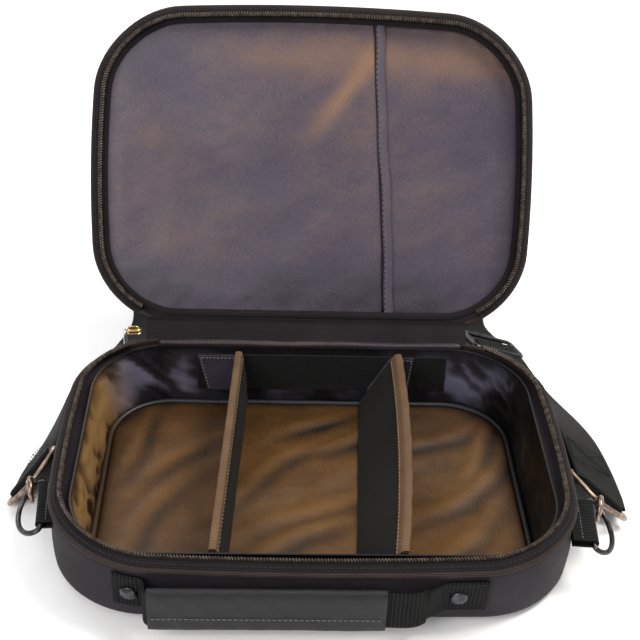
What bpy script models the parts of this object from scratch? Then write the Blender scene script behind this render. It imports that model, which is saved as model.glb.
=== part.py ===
"""Soft-sided zip case with a hinged lid, two movable dividers, a front handle and a shoulder strap.

Metres, +Z up. The case stands on its bottom, centred on the origin, with its long side along X,
its front at -Y and the lid standing open behind it.
"""

import math

import bmesh
import bpy
from mathutils import Matrix, Vector

# Gap between touching pieces.
GAP = 0.0003

# Base tray: the sewn seam near the rim is its widest clean outline.
BASE_HALF = 0.1395
BASE_FRONT = -0.0975
BASE_BACK = 0.100
BASE_RADIUS = 0.053
RIM_BOW = 0.006
WALL_TOP = 0.042
SEAM_Z = 0.044
CLOSE_Z = 0.051

# Room inside the padded walls, at the bottom and at the top.
ROOM_LOW_Z = 0.0032
ROOM_LOW_HALF = 0.1274
ROOM_LOW_DEPTH = 0.0854
ROOM_LOW_RADIUS = 0.040
ROOM_HALF = 0.134
ROOM_DEPTH = 0.0916
ROOM_RADIUS = 0.046
LINING = 0.001
BOARD = 0.0012
FLOOR_TOP = 0.009

# Lid, described in its closed place and then swung open about the hinge.
LID_HALF = 0.1348
LID_FRONT = -0.0940
LID_BACK = 0.1026
LID_RADIUS = 0.0490
LID_TOP = 0.0705
LID_SEAM_Z = 2 * CLOSE_Z - SEAM_Z
LID_OPEN = math.radians(120.5)
HINGE = Vector((0.0, 0.105, CLOSE_Z))
HINGE_LEFT = -0.105
HINGE_RIGHT = 0.101
POCKET_EDGE = 0.0435
POCKET_SLANT = 0.0615
HEM_WIDTH = 0.006
POCKET_Z = 0.0605

# Rim: cord piping, woven zipper tape and its coil of teeth.
PIPING = 0.0016
COIL = 0.0011
COIL_INSET = 0.0046
COIL_DROP = 0.00125
ROLL_HALF = 0.092
TAPE_SECTION = ((0.0004, 0.0069), (0.0042, 0.0083), (0.0042, 0.0094), (0.0004, 0.0080))

# Dividers. Each leans and is a little askew: the X of its top edge's middle, the side its hook
# tabs turn to, how far its back end and its bottom lie off that X, how far its top edge bows,
# and the width of its hook tabs at the top and at the bottom.
DIVIDERS = {
    "divider_left": (-0.0500, -1, 0.0045, 0.0040, 0.0000, 0.0240, 0.0205),
    "divider_right": (0.0505, 1, 0.0048, -0.0208, 0.0035, 0.0100, 0.0220),
}
DIVIDER_SPANS = 6
DIVIDER_THICK = 0.005
DIVIDER_TOP = 0.0427
BINDING_TOP = 0.0453
LOOP_STRIP = (-0.072, 0.088)
LOOP_LOW_Z = 0.017
LOOP_HIGH_Z = 0.041

# Handle on the front wall.
WEB_THICK = 0.0018
HANDLE_LOW_Z = 0.0145
HANDLE_HIGH_Z = 0.0395
PAD_LEFT = (-0.106, -0.0897)
PAD_RIGHT = (0.066, 0.090)
RIVETS = (-0.097, 0.075)
HANDLE_Y = -0.112
GRIP = (-0.087, 0.036)
GRIP_HEIGHT = 0.029
GRIP_THICK = 0.0072

# Rings, hooks and shoulder strap.
STRAP_WIDTH = 0.038
STRAP_THICK = 0.002
RING_WIRE = 0.0015
RING_HALF = 0.0195
RING_CORNER = 0.003
TAB_ROOT_X = 0.1465
TAB_WEB = 0.0012
TAB_Z = 0.033
HOOK_REACH = 0.0135
HOOK_WIRE = 0.0016
BARREL = 0.0034
STRAP_GRIP = 0.0180

RING_PULL = math.radians(28)
# The rings sag about their bars, and the hooks slope down from them to the strap on the floor.
RING_DROOP = math.radians(30)
HOOK_DROP = math.radians(25)

# Each side: sign of X, place of the tab along Y, its turn, the bar's distance, the ring's depth,
# the way the hook leans out, and the tilt of the strap.
SIDES = {
    "left": (-1, -0.042, math.radians(5), 0.0040, 0.016, math.radians(10), math.radians(47)),
    "right": (1, -0.052, math.radians(5), 0.0075, 0.015, math.radians(15), math.radians(32)),
}

# Shoulder strap: route points between its two hooks, with the tilt of its width in degrees.
STRAP_ROUTE = (
    (-0.1595, 0.030, 0.0170, 58),
    (-0.1540, 0.060, 0.0182, 68),
    (-0.1440, 0.085, 0.0178, 64),
    (-0.1340, 0.110, 0.0150, 48),
    (-0.1180, 0.141, 0.0115, 32),
    (-0.1070, 0.174, 0.0095, 25),
    (-0.1080, 0.212, 0.0087, 22),
    (-0.1060, 0.247, 0.0087, 22),
    (-0.0850, 0.276, 0.0080, 20),
    (-0.0450, 0.294, 0.0074, 18),
    (0.0020, 0.299, 0.0068, 16),
    (0.0490, 0.294, 0.0074, 18),
    (0.0900, 0.276, 0.0080, 20),
    (0.1120, 0.247, 0.0087, 22),
    (0.1140, 0.212, 0.0087, 22),
    (0.1130, 0.176, 0.0090, 23),
    (0.1300, 0.140, 0.0098, 26),
    (0.1450, 0.095, 0.0117, 32),
    (0.1655, 0.048, 0.0130, 35),
)
STRAP_STEPS = 4
# The strap turns from each loop's direction to its own over this length.
STRAP_EASE = 0.035
ADJUSTER_AT = 17
ADJUSTER = (0.046, 0.022, 0.003)

# Zipper slider at the left end of the hinge.
SLIDER = Vector((-0.113, 0.1002, 0.0502))
SLIDER_SIZE = (0.009, 0.0062, 0.0042)
PULL_LENGTH = 0.017
PULL_HALF_WIDTH = 0.0024
PULL_WIRE = 0.0008
# The pull's top reaches this far over its axis, which lies this far off the slider's end.
PULL_RISE = 0.0003
PULL_CLEAR = 0.0014

CORNER_STEPS = 6
EDGE_STEPS = 4
X_AXIS = Vector((1, 0, 0))
Z_AXIS = Vector((0, 0, 1))


def clear_scene():
    """Removes whatever the file holds, so that the case is made alone."""
    for thing in list(bpy.data.objects):
        bpy.data.objects.remove(thing, do_unlink=True)


def blend(low, high, share):
    return low + (high - low) * share


def outline(half, front, back, radius, bow, inset=0.0):
    """Points of a rounded rectangle, anticlockwise from its back right corner.

    Its sides and front bow outward, and its back stays straight.
    """
    half, front, back, radius = half - inset, front + inset, back - inset, radius - inset
    middle = (front + back) / 2
    depth = (back - front) / 2
    points = []
    for index, (side_x, side_y) in enumerate(((1, 1), (-1, 1), (-1, -1), (1, -1))):
        corner_x = side_x * (half - radius)
        corner_y = middle + side_y * (depth - radius)
        for step in range(CORNER_STEPS + 1):
            angle = math.radians(90 * (index + step / CORNER_STEPS))
            points.append((corner_x + radius * math.cos(angle), corner_y + radius * math.sin(angle)))
        next_x, next_y = ((-1, 1), (-1, -1), (1, -1), (1, 1))[index]
        turn = math.radians(90 * (index + 1))
        end_x = next_x * (half - radius) + radius * math.cos(turn)
        end_y = middle + next_y * (depth - radius) + radius * math.sin(turn)
        start_x, start_y = points[-1]
        for step in range(1, EDGE_STEPS):
            share = step / EDGE_STEPS
            points.append((blend(start_x, end_x, share), blend(start_y, end_y, share)))
    bowed = []
    for x, y in points:
        across = x / half
        along = (y - middle) / depth
        out_x = bow * across * abs(across) * (1 - along * along)
        out_y = bow * along * along * (1 - across * across) if y < middle else 0.0
        bowed.append((x + out_x, y - out_y))
    return bowed


def level(points, z):
    return [Vector((x, y, z)) for x, y in points]


def base_outline(z, inset=0.0):
    """The base's outside at a height: it bulges out over the bottom and bows out at the seam."""
    share = min(z / WALL_TOP, 1.0)
    half = BASE_HALF + 0.0055 * (1 - share)
    front = BASE_FRONT + 0.003 * (1 - share)
    back = BASE_BACK - 0.001 * (1 - share)
    bow = blend(0.001, RIM_BOW, share)
    return outline(half, front, back, BASE_RADIUS + 0.001 * (1 - share), bow, inset)


def rim_outline(inset):
    return outline(BASE_HALF, BASE_FRONT, BASE_BACK, BASE_RADIUS, RIM_BOW, inset)


def lid_outline(inset):
    return outline(LID_HALF, LID_FRONT, LID_BACK, LID_RADIUS, RIM_BOW, inset)


def room_depth(z):
    """Half the room's depth at a height; the front and back walls inside are flat and lean out."""
    share = (z - ROOM_LOW_Z) / (WALL_TOP - ROOM_LOW_Z)
    return blend(ROOM_LOW_DEPTH, ROOM_DEPTH, share)


def room_outline(z, inset=0.0):
    share = (z - ROOM_LOW_Z) / (WALL_TOP - ROOM_LOW_Z)
    half = blend(ROOM_LOW_HALF, ROOM_HALF, share)
    depth = room_depth(z)
    radius = blend(ROOM_LOW_RADIUS, ROOM_RADIUS, share)
    return outline(half, -depth, depth, radius, 0.0, inset)


def open_run(points):
    """The outline from the hinge's left end round the front to its right end."""
    per_side = CORNER_STEPS + EDGE_STEPS
    return points[per_side + 2 :] + points[: CORNER_STEPS - 1]


def front_wall_y(x, z):
    """The outside of the front wall at one place."""
    points = base_outline(z)
    for (x0, y0), (x1, y1) in zip(points, points[1:]):
        if y0 < 0 and y1 < 0 and x0 <= x <= x1:
            return blend(y0, y1, (x - x0) / (x1 - x0))
    return BASE_FRONT


def skin(rings, closed=False):
    """A mesh over rings of points, closed by caps or back onto its first ring."""
    mesh = bmesh.new()
    rows = [[mesh.verts.new(point) for point in ring] for ring in rings]
    size = len(rows[0])
    spans = len(rows) if closed else len(rows) - 1
    for index in range(spans):
        low = rows[index]
        high = rows[(index + 1) % len(rows)]
        for step in range(size):
            after = (step + 1) % size
            mesh.faces.new((low[step], low[after], high[after], high[step]))
    if not closed:
        mesh.faces.new(rows[0])
        mesh.faces.new(rows[-1])
    bmesh.ops.recalc_face_normals(mesh, faces=mesh.faces)
    return mesh


def tube(path, radius, sides, up, closed=False):
    """A round tube along a path that lies across the direction up."""
    count = len(path)
    radii = radius if isinstance(radius, list) else [radius] * count
    rings = []
    for index, point in enumerate(path):
        before = path[index - 1] if closed or index else point
        after = path[(index + 1) % count] if closed or index < count - 1 else point
        tangent = (after - before).normalized()
        side = up.cross(tangent).normalized()
        rise = tangent.cross(side)
        ring = []
        for step in range(sides):
            angle = 2 * math.pi * (step + 0.5) / sides
            ring.append(point + radii[index] * (math.cos(angle) * side + math.sin(angle) * rise))
        rings.append(ring)
    return skin(rings, closed)


def box(low, high):
    """A block between two opposite corners."""
    rings = []
    for z in (low[2], high[2]):
        corners = ((low[0], low[1]), (high[0], low[1]), (high[0], high[1]), (low[0], high[1]))
        rings.append([Vector((x, y, z)) for x, y in corners])
    return skin(rings)


def prism(profile, low_x, high_x):
    """A profile of (y, z) points pushed along X."""
    return skin([[Vector((x, y, z)) for y, z in profile] for x in (low_x, high_x)])


def band(section, inner, closed=True):
    """A section of (inset, z) points carried round an outline, given as a function of the inset."""
    columns = []
    for inset, z in section:
        points = inner(inset)
        columns.append(level(points if closed else open_run(points), z))
    return skin([list(ring) for ring in zip(*columns)], closed)


def surface(name, colour, roughness, metallic):
    material = bpy.data.materials.new(name)
    material.use_nodes = True
    shader = material.node_tree.nodes["Principled BSDF"]
    shader.inputs["Base Color"].default_value = (*colour, 1)
    shader.inputs["Roughness"].default_value = roughness
    shader.inputs["Metallic"].default_value = metallic
    return material


LOOKS = {
    "nylon": ((0.020, 0.016, 0.019), 0.75, 0.0),
    "tape": ((0.028, 0.024, 0.028), 0.80, 0.0),
    "teeth": ((0.060, 0.055, 0.065), 0.35, 0.0),
    "satin": ((0.110, 0.072, 0.040), 0.38, 0.0),
    "lid_satin": ((0.095, 0.080, 0.105), 0.40, 0.0),
    "loop_pile": ((0.010, 0.010, 0.011), 0.95, 0.0),
    "binding": ((0.260, 0.160, 0.080), 0.55, 0.0),
    "padding": ((0.012, 0.011, 0.012), 0.80, 0.0),
    "board": ((0.350, 0.320, 0.280), 0.85, 0.0),
    "webbing": ((0.012, 0.012, 0.013), 0.80, 0.0),
    "leatherette": ((0.045, 0.042, 0.050), 0.45, 0.0),
    "gunmetal": ((0.120, 0.110, 0.110), 0.35, 1.0),
    "steel": ((0.550, 0.560, 0.580), 0.25, 1.0),
    "brass": ((0.620, 0.400, 0.160), 0.30, 1.0),
    "rivet": ((0.050, 0.048, 0.052), 0.40, 1.0),
}


def add(name, mesh, look, pivot=Vector((0, 0, 0)), parent=None, smooth=True):
    """Makes an object whose origin is the pivot, under a parent that stands at the same pivot."""
    bmesh.ops.translate(mesh, verts=mesh.verts, vec=-Vector(pivot))
    data = bpy.data.meshes.new(name)
    mesh.to_mesh(data)
    mesh.free()
    if smooth:
        data.shade_smooth()
        data.set_sharp_from_angle(angle=math.radians(40))
    data.materials.append(surface(name, *LOOKS[look]))
    thing = bpy.data.objects.new(name, data)
    bpy.context.collection.objects.link(thing)
    if parent is None:
        thing.location = pivot
    else:
        thing.parent = parent
    return thing


def joint_empty(name, pivot):
    empty = bpy.data.objects.new(name, None)
    empty.location = pivot
    bpy.context.collection.objects.link(empty)
    return empty


def plate(points, low_z, high_z):
    return skin([level(points, low_z), level(points, high_z)])


def make_base():
    """Padded outer tray, stiffening board, lining, floor board with its edge cord, and loop strips."""
    rings = [level(base_outline(0.0, 0.007), 0.0), level(base_outline(0.002, 0.002), 0.002)]
    rings += [level(base_outline(z), z) for z in (0.006, 0.020, 0.034, WALL_TOP)]
    rings += [level(room_outline(z), z) for z in (WALL_TOP, 0.024, ROOM_LOW_Z)]
    add("base_shell", skin(rings), "nylon")
    board_z = ROOM_LOW_Z + GAP
    board = plate(room_outline(board_z, 0.004), board_z, board_z + BOARD)
    add("base_stiffener_board", board, "board")
    lining_z = board_z + BOARD + GAP
    rings = [level(room_outline(z, GAP), z) for z in (lining_z, 0.024, 0.0445)]
    rings += [level(room_outline(z, GAP + LINING), z) for z in (0.0445, 0.024, lining_z + LINING)]
    add("base_lining", skin(rings), "satin")
    pad_low = lining_z + LINING + GAP
    cord = (FLOOR_TOP - pad_low) / 2
    cord_inset = GAP + LINING + GAP + cord
    path = level(room_outline(FLOOR_TOP, cord_inset + GAP), pad_low + cord)
    add("floor_edge_cord", tube(path, cord, 6, Z_AXIS, closed=True), "satin")
    pad = room_outline(FLOOR_TOP, cord_inset + cord + 2 * GAP)
    add("floor_board", plate(pad, pad_low, FLOOR_TOP), "satin")
    for name, side in (("loop_strip_back", 1), ("loop_strip_front", -1)):
        profile = wall_profile(LOOP_LOW_Z, LOOP_HIGH_Z, GAP + LINING + GAP, 0.0012, side)
        add(name, prism(profile, *LOOP_STRIP), "loop_pile")


def wall_profile(low_z, high_z, depth, thick, side):
    """A strip that lies on the sloping inner wall, from one height to another, as (y, z) points."""
    near_low, near_high = room_depth(low_z) - depth, room_depth(high_z) - depth
    return (
        (side * near_low, low_z),
        (side * near_high, high_z),
        (side * (near_high - thick), high_z),
        (side * (near_low - thick), low_z),
    )


def rim_section(flip):
    """The zipper tape's section, for the base or turned over for the lid."""
    section = []
    for inset, rise in TAPE_SECTION:
        z = SEAM_Z - 0.005 + rise
        section.append((inset, 2 * CLOSE_Z - z if flip else z))
    return section


def make_rim():
    """Piping, zipper tape, coil and the rolled edge along the back of the base."""
    add("base_piping", tube(level(rim_outline(-0.0005), SEAM_Z), PIPING, 6, Z_AXIS, True), "nylon")
    add("zipper_tape_base", band(rim_section(False), rim_outline, closed=False), "tape")
    path = level(open_run(rim_outline(COIL_INSET)), CLOSE_Z - COIL_DROP)
    add("zipper_coil_base", tube(path, COIL, 6, Z_AXIS), "teeth")
    roll = [Vector((blend(-ROLL_HALF, ROLL_HALF, step / 6), 0.0958, 0.0448)) for step in range(7)]
    add("back_edge_roll", tube(roll, 0.0021, 8, Z_AXIS), "lid_satin")
    leaf = ((0.0990, 0.0472), (0.1036, 0.0499), (0.1031, 0.0508), (0.0985, 0.0481))
    add("hinge_web_base", prism(leaf, HINGE_LEFT, HINGE_RIGHT), "tape")


def pocket_x(y):
    """Where the inner edge of the pocket's hem crosses the lid, which it does at a slant."""
    return POCKET_EDGE + POCKET_SLANT * (y - (LID_FRONT + LID_BACK) / 2)


def make_lid():
    """The lid's shell, board, lining, pocket, piping, tape and coil, under an empty on the hinge."""
    hinge = joint_empty("lid_hinge", HINGE)
    seam_top = LID_SEAM_Z + 0.0024
    rings = [level(lid_outline(0.0), seam_top), level(lid_outline(0.0002), 0.0645)]
    rings += [level(lid_outline(0.0022), 0.0682), level(lid_outline(0.008), LID_TOP)]
    rings.reverse()
    rings += [level(lid_outline(0.0040), seam_top), level(lid_outline(0.0048), 0.0668)]
    add("lid_shell", skin(rings), "nylon", HINGE, hinge)
    add("lid_stiffener_board", plate(lid_outline(0.0065), 0.0655, 0.0665), "board", HINGE, hinge)
    rings = [level(lid_outline(0.0052), z) for z in (0.0652, 0.0585)]
    rings += [level(lid_outline(0.0062), z) for z in (0.0585, 0.0642)]
    add("lid_lining", skin(rings), "lid_satin", HINGE, hinge)
    pocket = plate(lid_outline(0.0066), POCKET_Z, POCKET_Z + 0.001)
    cut = (pocket_x(0) - 0.0003, 0, 0)
    across = Vector((1, -POCKET_SLANT, 0))
    geometry = pocket.verts[:] + pocket.edges[:] + pocket.faces[:]
    bmesh.ops.bisect_plane(pocket, geom=geometry, plane_co=cut, plane_no=across, clear_outer=True)
    bmesh.ops.holes_fill(pocket, edges=pocket.edges[:], sides=0)
    bmesh.ops.recalc_face_normals(pocket, faces=pocket.faces)
    add("lid_pocket_panel", pocket, "lid_satin", HINGE, hinge)
    low_y, high_y = LID_FRONT + 0.003, LID_BACK - 0.0085
    corners = [(pocket_x(low_y), low_y), (pocket_x(low_y) + HEM_WIDTH, low_y)]
    corners += [(pocket_x(high_y) + HEM_WIDTH, high_y), (pocket_x(high_y), high_y)]
    hem = skin([level(corners, POCKET_Z - 0.0002), level(corners, POCKET_Z + 0.0012)])
    add("lid_pocket_hem", hem, "lid_satin", HINGE, hinge)
    path = level(lid_outline(-0.0005), LID_SEAM_Z)
    add("lid_piping", tube(path, PIPING, 6, Z_AXIS, True), "nylon", HINGE, hinge)
    add("zipper_tape_lid", band(rim_section(True), lid_outline, closed=False), "tape", HINGE, hinge)
    path = level(open_run(lid_outline(COIL_INSET)), CLOSE_Z + COIL_DROP)
    add("zipper_coil_lid", tube(path, COIL, 6, Z_AXIS), "teeth", HINGE, hinge)
    leaf = (
        (0.1036, 0.0521),
        (0.1000, 0.0542),
        (0.0996, 0.0560),
        (0.0986, 0.0559),
        (0.0991, 0.0536),
        (0.1030, 0.0512),
    )
    add("hinge_web_lid", prism(leaf, HINGE_LEFT, HINGE_RIGHT), "tape", HINGE, hinge)
    hinge.rotation_euler = (-LID_OPEN, 0, 0)


def divider_x(name, along, z):
    """The middle of a divider's thickness, from its front end (-1) to its back end (1)."""
    x, _, askew, lean, bow, _, _ = DIVIDERS[name]
    down = (DIVIDER_TOP - z) / (DIVIDER_TOP - FLOOR_TOP)
    return x + askew * along + lean * down + bow * (1 - along * along) * (1 - down)


def make_divider(name):
    """A padded panel with a bound top edge and a hook tab at each end, turned to one side."""
    x, side, _, _, _, top_width, low_width = DIVIDERS[name]
    pivot = Vector((x, 0, FLOOR_TOP))
    slide = joint_empty(name + "_slide", pivot)
    half = DIVIDER_THICK / 2
    depth = GAP + LINING + GAP + 0.0012 + GAP
    reach = depth + 0.0012 + GAP
    low_z = FLOOR_TOP + GAP
    high_y = room_depth(DIVIDER_TOP) - reach
    top = DIVIDER_TOP + GAP
    levels = ((low_z, room_depth(low_z) - reach, half), (DIVIDER_TOP, high_y, half))
    bound = ((top, high_y, half + 0.0004), (BINDING_TOP, high_y, half + 0.0004))
    for part, look, (low, high) in (("panel", "padding", levels), ("binding", "binding", bound)):
        rings = []
        for step in range(DIVIDER_SPANS + 1):
            along = blend(-1, 1, step / DIVIDER_SPANS)
            ring = []
            for (z, y, wide), way in ((low, -1), (low, 1), (high, 1), (high, -1)):
                ring.append(Vector((divider_x(name, along, z) + way * wide, along * y, z)))
            rings.append(ring)
        add(name + "_" + part, skin(rings), look, pivot, slide)
    for end, sign in (("back", 1), ("front", -1)):
        rings = []
        for z, width in ((LOOP_LOW_Z, low_width), (LOOP_HIGH_Z, top_width)):
            outer = sign * (room_depth(z) - depth)
            inner = sign * (room_depth(z) - depth - 0.0012)
            near = divider_x(name, sign, z) - side * half
            far = divider_x(name, sign, z) + side * (half + width)
            corners = ((near, outer), (far, outer), (far, inner), (near, inner))
            rings.append([Vector((a, b, z)) for a, b in corners])
        add(name + "_hook_tab_" + end, skin(rings), "padding", pivot, slide)


def wall_strip(span, steps):
    """Webbing that lies on the front wall between two places along X."""
    rings = []
    for step in range(steps + 1):
        x = blend(*span, step / steps)
        low = front_wall_y(x, HANDLE_LOW_Z) - 0.0006
        high = front_wall_y(x, HANDLE_HIGH_Z) - 0.0006
        rings.append(
            [
                Vector((x, low, HANDLE_LOW_Z)),
                Vector((x, high, HANDLE_HIGH_Z)),
                Vector((x, high - WEB_THICK, HANDLE_HIGH_Z)),
                Vector((x, low - WEB_THICK, HANDLE_LOW_Z)),
            ]
        )
    return skin(rings)


def rounded_section(height, thick, steps=4):
    """(y, z) points of a slab section with rounded edges."""
    radius = thick / 2
    points = []
    for side in (1, -1):
        for step in range(steps + 1):
            angle = math.pi * step / steps
            y = side * radius * math.cos(angle)
            z = side * (height / 2 - radius + radius * math.sin(angle))
            points.append((y, z))
    return points


def rivet(x, z):
    """A domed rivet head that stands square to the webbing."""
    reach = 0.004
    centre = Vector((x, front_wall_y(x, z), z))
    right = Vector((2 * reach, front_wall_y(x + reach, z) - front_wall_y(x - reach, z), 0)).normalized()
    rise = Vector((0, front_wall_y(x, z + reach) - front_wall_y(x, z - reach), 2 * reach)).normalized()
    out = rise.cross(right)
    out = -out if out.y > 0 else out
    base = centre + out * (0.0006 + WEB_THICK + 2 * GAP)
    rings = []
    for height, radius in ((0.0, 0.0048), (0.0008, 0.0046), (0.0018, 0.0034), (0.0023, 0.0016)):
        angles = [2 * math.pi * step / 12 for step in range(12)]
        lift = base + out * height
        rings.append([lift + (right * math.cos(a) + rise * math.sin(a)) * radius for a in angles])
    return skin(rings)


def make_handle():
    """Riveted webbing ends, the loose webbing between them and the sleeve that slides on it."""
    middle_z = (HANDLE_LOW_Z + HANDLE_HIGH_Z) / 2
    for name, span, rivet_x in (("left", PAD_LEFT, RIVETS[0]), ("right", PAD_RIGHT, RIVETS[1])):
        add("handle_end_" + name, wall_strip(span, 3), "webbing")
        add("handle_rivet_" + name, rivet(rivet_x, middle_z), "rivet")
    pull = joint_empty("handle_pull", (0, HANDLE_Y, middle_z))
    half = WEB_THICK / 2
    left_x = PAD_LEFT[1] + GAP + half
    right_x = PAD_RIGHT[0] - 2.5 * GAP
    left_y = front_wall_y(left_x, HANDLE_HIGH_Z) - 0.0010
    right_y = front_wall_y(right_x, HANDLE_HIGH_Z) - 0.0014
    path = [Vector((left_x, left_y, 0)), Vector((left_x, HANDLE_Y + 0.0016, 0))]
    path += [Vector((left_x + 0.0016, HANDLE_Y, 0)), Vector((GRIP[1] + 0.0145, HANDLE_Y, 0))]
    path += [Vector((GRIP[1] + 0.0180, HANDLE_Y + 0.0008, 0)), Vector((right_x, right_y, 0))]
    rings = []
    for index, point in enumerate(path):
        before = path[max(index - 1, 0)]
        after = path[min(index + 1, len(path) - 1)]
        side = Z_AXIS.cross(after - before).normalized() * half
        low, high = point - side, point + side
        rings.append(
            [
                Vector((low.x, low.y, HANDLE_LOW_Z)),
                Vector((high.x, high.y, HANDLE_LOW_Z)),
                Vector((high.x, high.y, HANDLE_HIGH_Z)),
                Vector((low.x, low.y, HANDLE_HIGH_Z)),
            ]
        )
    pivot = Vector((0, HANDLE_Y, middle_z))
    add("handle_webbing", skin(rings), "webbing", pivot, pull)
    outer = rounded_section(GRIP_HEIGHT, GRIP_THICK)
    inner = rounded_section(HANDLE_HIGH_Z - HANDLE_LOW_Z + 0.0014, 0.0030)
    rings = []
    for x, section in ((GRIP[0], outer), (GRIP[1], outer), (GRIP[1], inner), (GRIP[0], inner)):
        rings.append([Vector((x, HANDLE_Y + y, middle_z + z)) for y, z in section])
    slide = joint_empty("grip_slide", (0, 0, 0))
    slide.parent = pull
    add("handle_grip", skin(rings, closed=True), "leatherette", pivot, slide)


def side_frame(side):
    """The matrix of a side's tab: local X points out of the case and local Y runs back along it."""
    sign, y, turn = SIDES[side][:3]
    out = Vector((sign * math.cos(turn), -math.sin(turn), 0))
    back = Vector((sign * math.sin(turn), math.cos(turn), 0))
    frame = Matrix((out, back, Z_AXIS)).transposed().to_4x4()
    frame.translation = Vector((sign * TAB_ROOT_X, y, TAB_Z))
    return frame


def on_ring(side, out, along):
    """A point of the ring's own plane, which sags about the bar."""
    bar = SIDES[side][3]
    reach = out - bar
    place = (bar + reach * math.cos(RING_DROOP), along, -reach * math.sin(RING_DROOP))
    return side_frame(side) @ Vector(place)


def make_tab_and_ring(side):
    """A webbing tab folded round the straight bar of a D-ring."""
    sign, _, _, bar, depth, _, _ = SIDES[side]
    frame = side_frame(side)
    inner = RING_WIRE + 0.0002
    outer = inner + TAB_WEB
    profile = [(0.0, -outer)]
    profile += [(bar + outer * math.cos(a), outer * math.sin(a)) for a in arc(-90, 90, 6)]
    profile += [(0.0, outer), (0.0, inner)]
    profile += [(bar + inner * math.cos(a), inner * math.sin(a)) for a in arc(90, -90, 6)]
    profile += [(0.0, -inner)]
    half = STRAP_WIDTH / 2 - 0.003
    rings = [[frame @ Vector((x, y, z)) for x, z in profile] for y in (-half, half)]
    add("side_tab_" + side, skin(rings), "webbing")
    path = [(bar, blend(-1, 1, step / 4) * (RING_HALF - RING_CORNER)) for step in range(5)]
    for angle in arc(-60, -15, 2):
        out = bar + RING_CORNER * (1 + math.sin(angle))
        path.append((out, RING_HALF - RING_CORNER * (1 - math.cos(angle))))
    for angle in arc(0, 180, 16):
        out = bar + RING_CORNER + (depth - RING_CORNER) * math.sin(angle)
        path.append((out, RING_HALF * math.cos(angle)))
    for angle in arc(-15, -60, 2):
        out = bar + RING_CORNER * (1 + math.sin(angle))
        path.append((out, RING_CORNER * (1 - math.cos(angle)) - RING_HALF))
    points = [on_ring(side, x, y) for x, y in path]
    pivot = frame @ Vector((bar, 0, 0))
    swing = joint_empty("d_ring_" + side + "_swing", pivot)
    square = (points[0] - pivot).cross(on_ring(side, bar + depth, 0) - pivot)
    add("d_ring_" + side, tube(points, RING_WIRE, 8, square, closed=True), "gunmetal", pivot, swing)


def arc(start, end, steps):
    """Angles in radians from start to end, both in degrees."""
    return [math.radians(blend(start, end, step / steps)) for step in range(steps + 1)]


def hook_line(side):
    """The swivel's centre, and the direction from the ring towards the strap."""
    sign, _, _, bar, depth, lean, _ = SIDES[side]
    out = bar + RING_CORNER + (depth - RING_CORNER) * math.sin(RING_PULL)
    grab = on_ring(side, out, RING_HALF * math.cos(RING_PULL))
    level_share = math.cos(HOOK_DROP)
    toward = Vector(
        (
            sign * math.sin(lean) * level_share,
            math.cos(lean) * level_share,
            -math.sin(HOOK_DROP),
        )
    )
    return grab + toward * HOOK_REACH, toward


def loop_across(side):
    """The way along the straight bar of a side's strap loop, from its outer to its inner end."""
    toward = hook_line(side)[1]
    flat = toward.cross(Z_AXIS).normalized()
    sign, tilt = SIDES[side][0], SIDES[side][6]
    return flat.cross(toward) * math.sin(tilt) - flat * (sign * math.cos(tilt))


def make_hook(side):
    """Snap hook body with its sprung gate, and the wire loop that the strap is sewn to."""
    place, toward = hook_line(side)
    flat = toward.cross(Z_AXIS).normalized()
    rise = flat.cross(toward)
    swivel = joint_empty("snap_hook_" + side + "_swivel", place)
    path = [(0.0, 0.0), (0.0032, 0.0), (0.0052, 0.0)]
    path += [(0.0068, 0.0014), (0.0082, 0.0040), (0.0105, 0.0060)]
    path += [(0.0140 + 0.0064 * math.sin(a), 0.0064 * math.cos(a)) for a in arc(0, 180, 8)]
    radii = [BARREL, BARREL, 0.0026] + [HOOK_WIRE] * (len(path) - 3)
    points = [place - toward * s + rise * z for s, z in path]
    add("snap_hook_body_" + side, tube(points, radii, 8, flat), "gunmetal", place, swivel)
    gate_root = place - toward * 0.0061 - rise * 0.0052
    gate_tip = place - toward * 0.0117 - rise * 0.0060
    gate = tube([gate_root, gate_root.lerp(gate_tip, 0.5), gate_tip], 0.0011, 8, flat)
    press = joint_empty("snap_hook_gate_" + side + "_press", gate_root - place)
    press.parent = swivel
    add("snap_hook_gate_" + side, gate, "steel", gate_root, press)
    across = loop_across(side)
    half = [(0.0019, 0.0030), (0.0030, 0.0066), (0.0070, 0.0128), (0.0110, 0.0186), (0.0130, 0.0206)]
    half += [(0.0149, 0.0206), (0.0158, 0.0190), (0.0158, 0.0095)]
    loop = [(0.0019, 0.0)] + half + [(0.0158, 0.0)] + [(s, -w) for s, w in half[::-1]]
    points = [place + toward * s + across * w for s, w in loop]
    normal = across.cross(toward)
    add("strap_loop_" + side, tube(points, HOOK_WIRE, 6, normal, closed=True), "gunmetal")


def strap_points():
    """The strap's centre line with its tilt: a smooth curve through the route between the hooks."""
    route = []
    for side in ("left", "right"):
        place, toward = hook_line(side)
        route.append((*(place + toward * STRAP_GRIP), math.degrees(SIDES[side][6])))
    route = [route[0], *STRAP_ROUTE, route[1]]
    padded = [route[0], *route, route[-1]]
    points = []
    for index in range(1, len(padded) - 2):
        before, start, end, after = padded[index - 1 : index + 3]
        for step in range(STRAP_STEPS):
            t = step / STRAP_STEPS
            points.append([catmull(a, b, c, d, t) for a, b, c, d in zip(before, start, end, after)])
    points.append(list(route[-1]))
    return points


def catmull(a, b, c, d, t):
    rise = 2 * a - 5 * b + 4 * c - d
    twist = 3 * b - 3 * c + d - a
    return 0.5 * (2 * b + (c - a) * t + rise * t**2 + twist * t**3)


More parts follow.
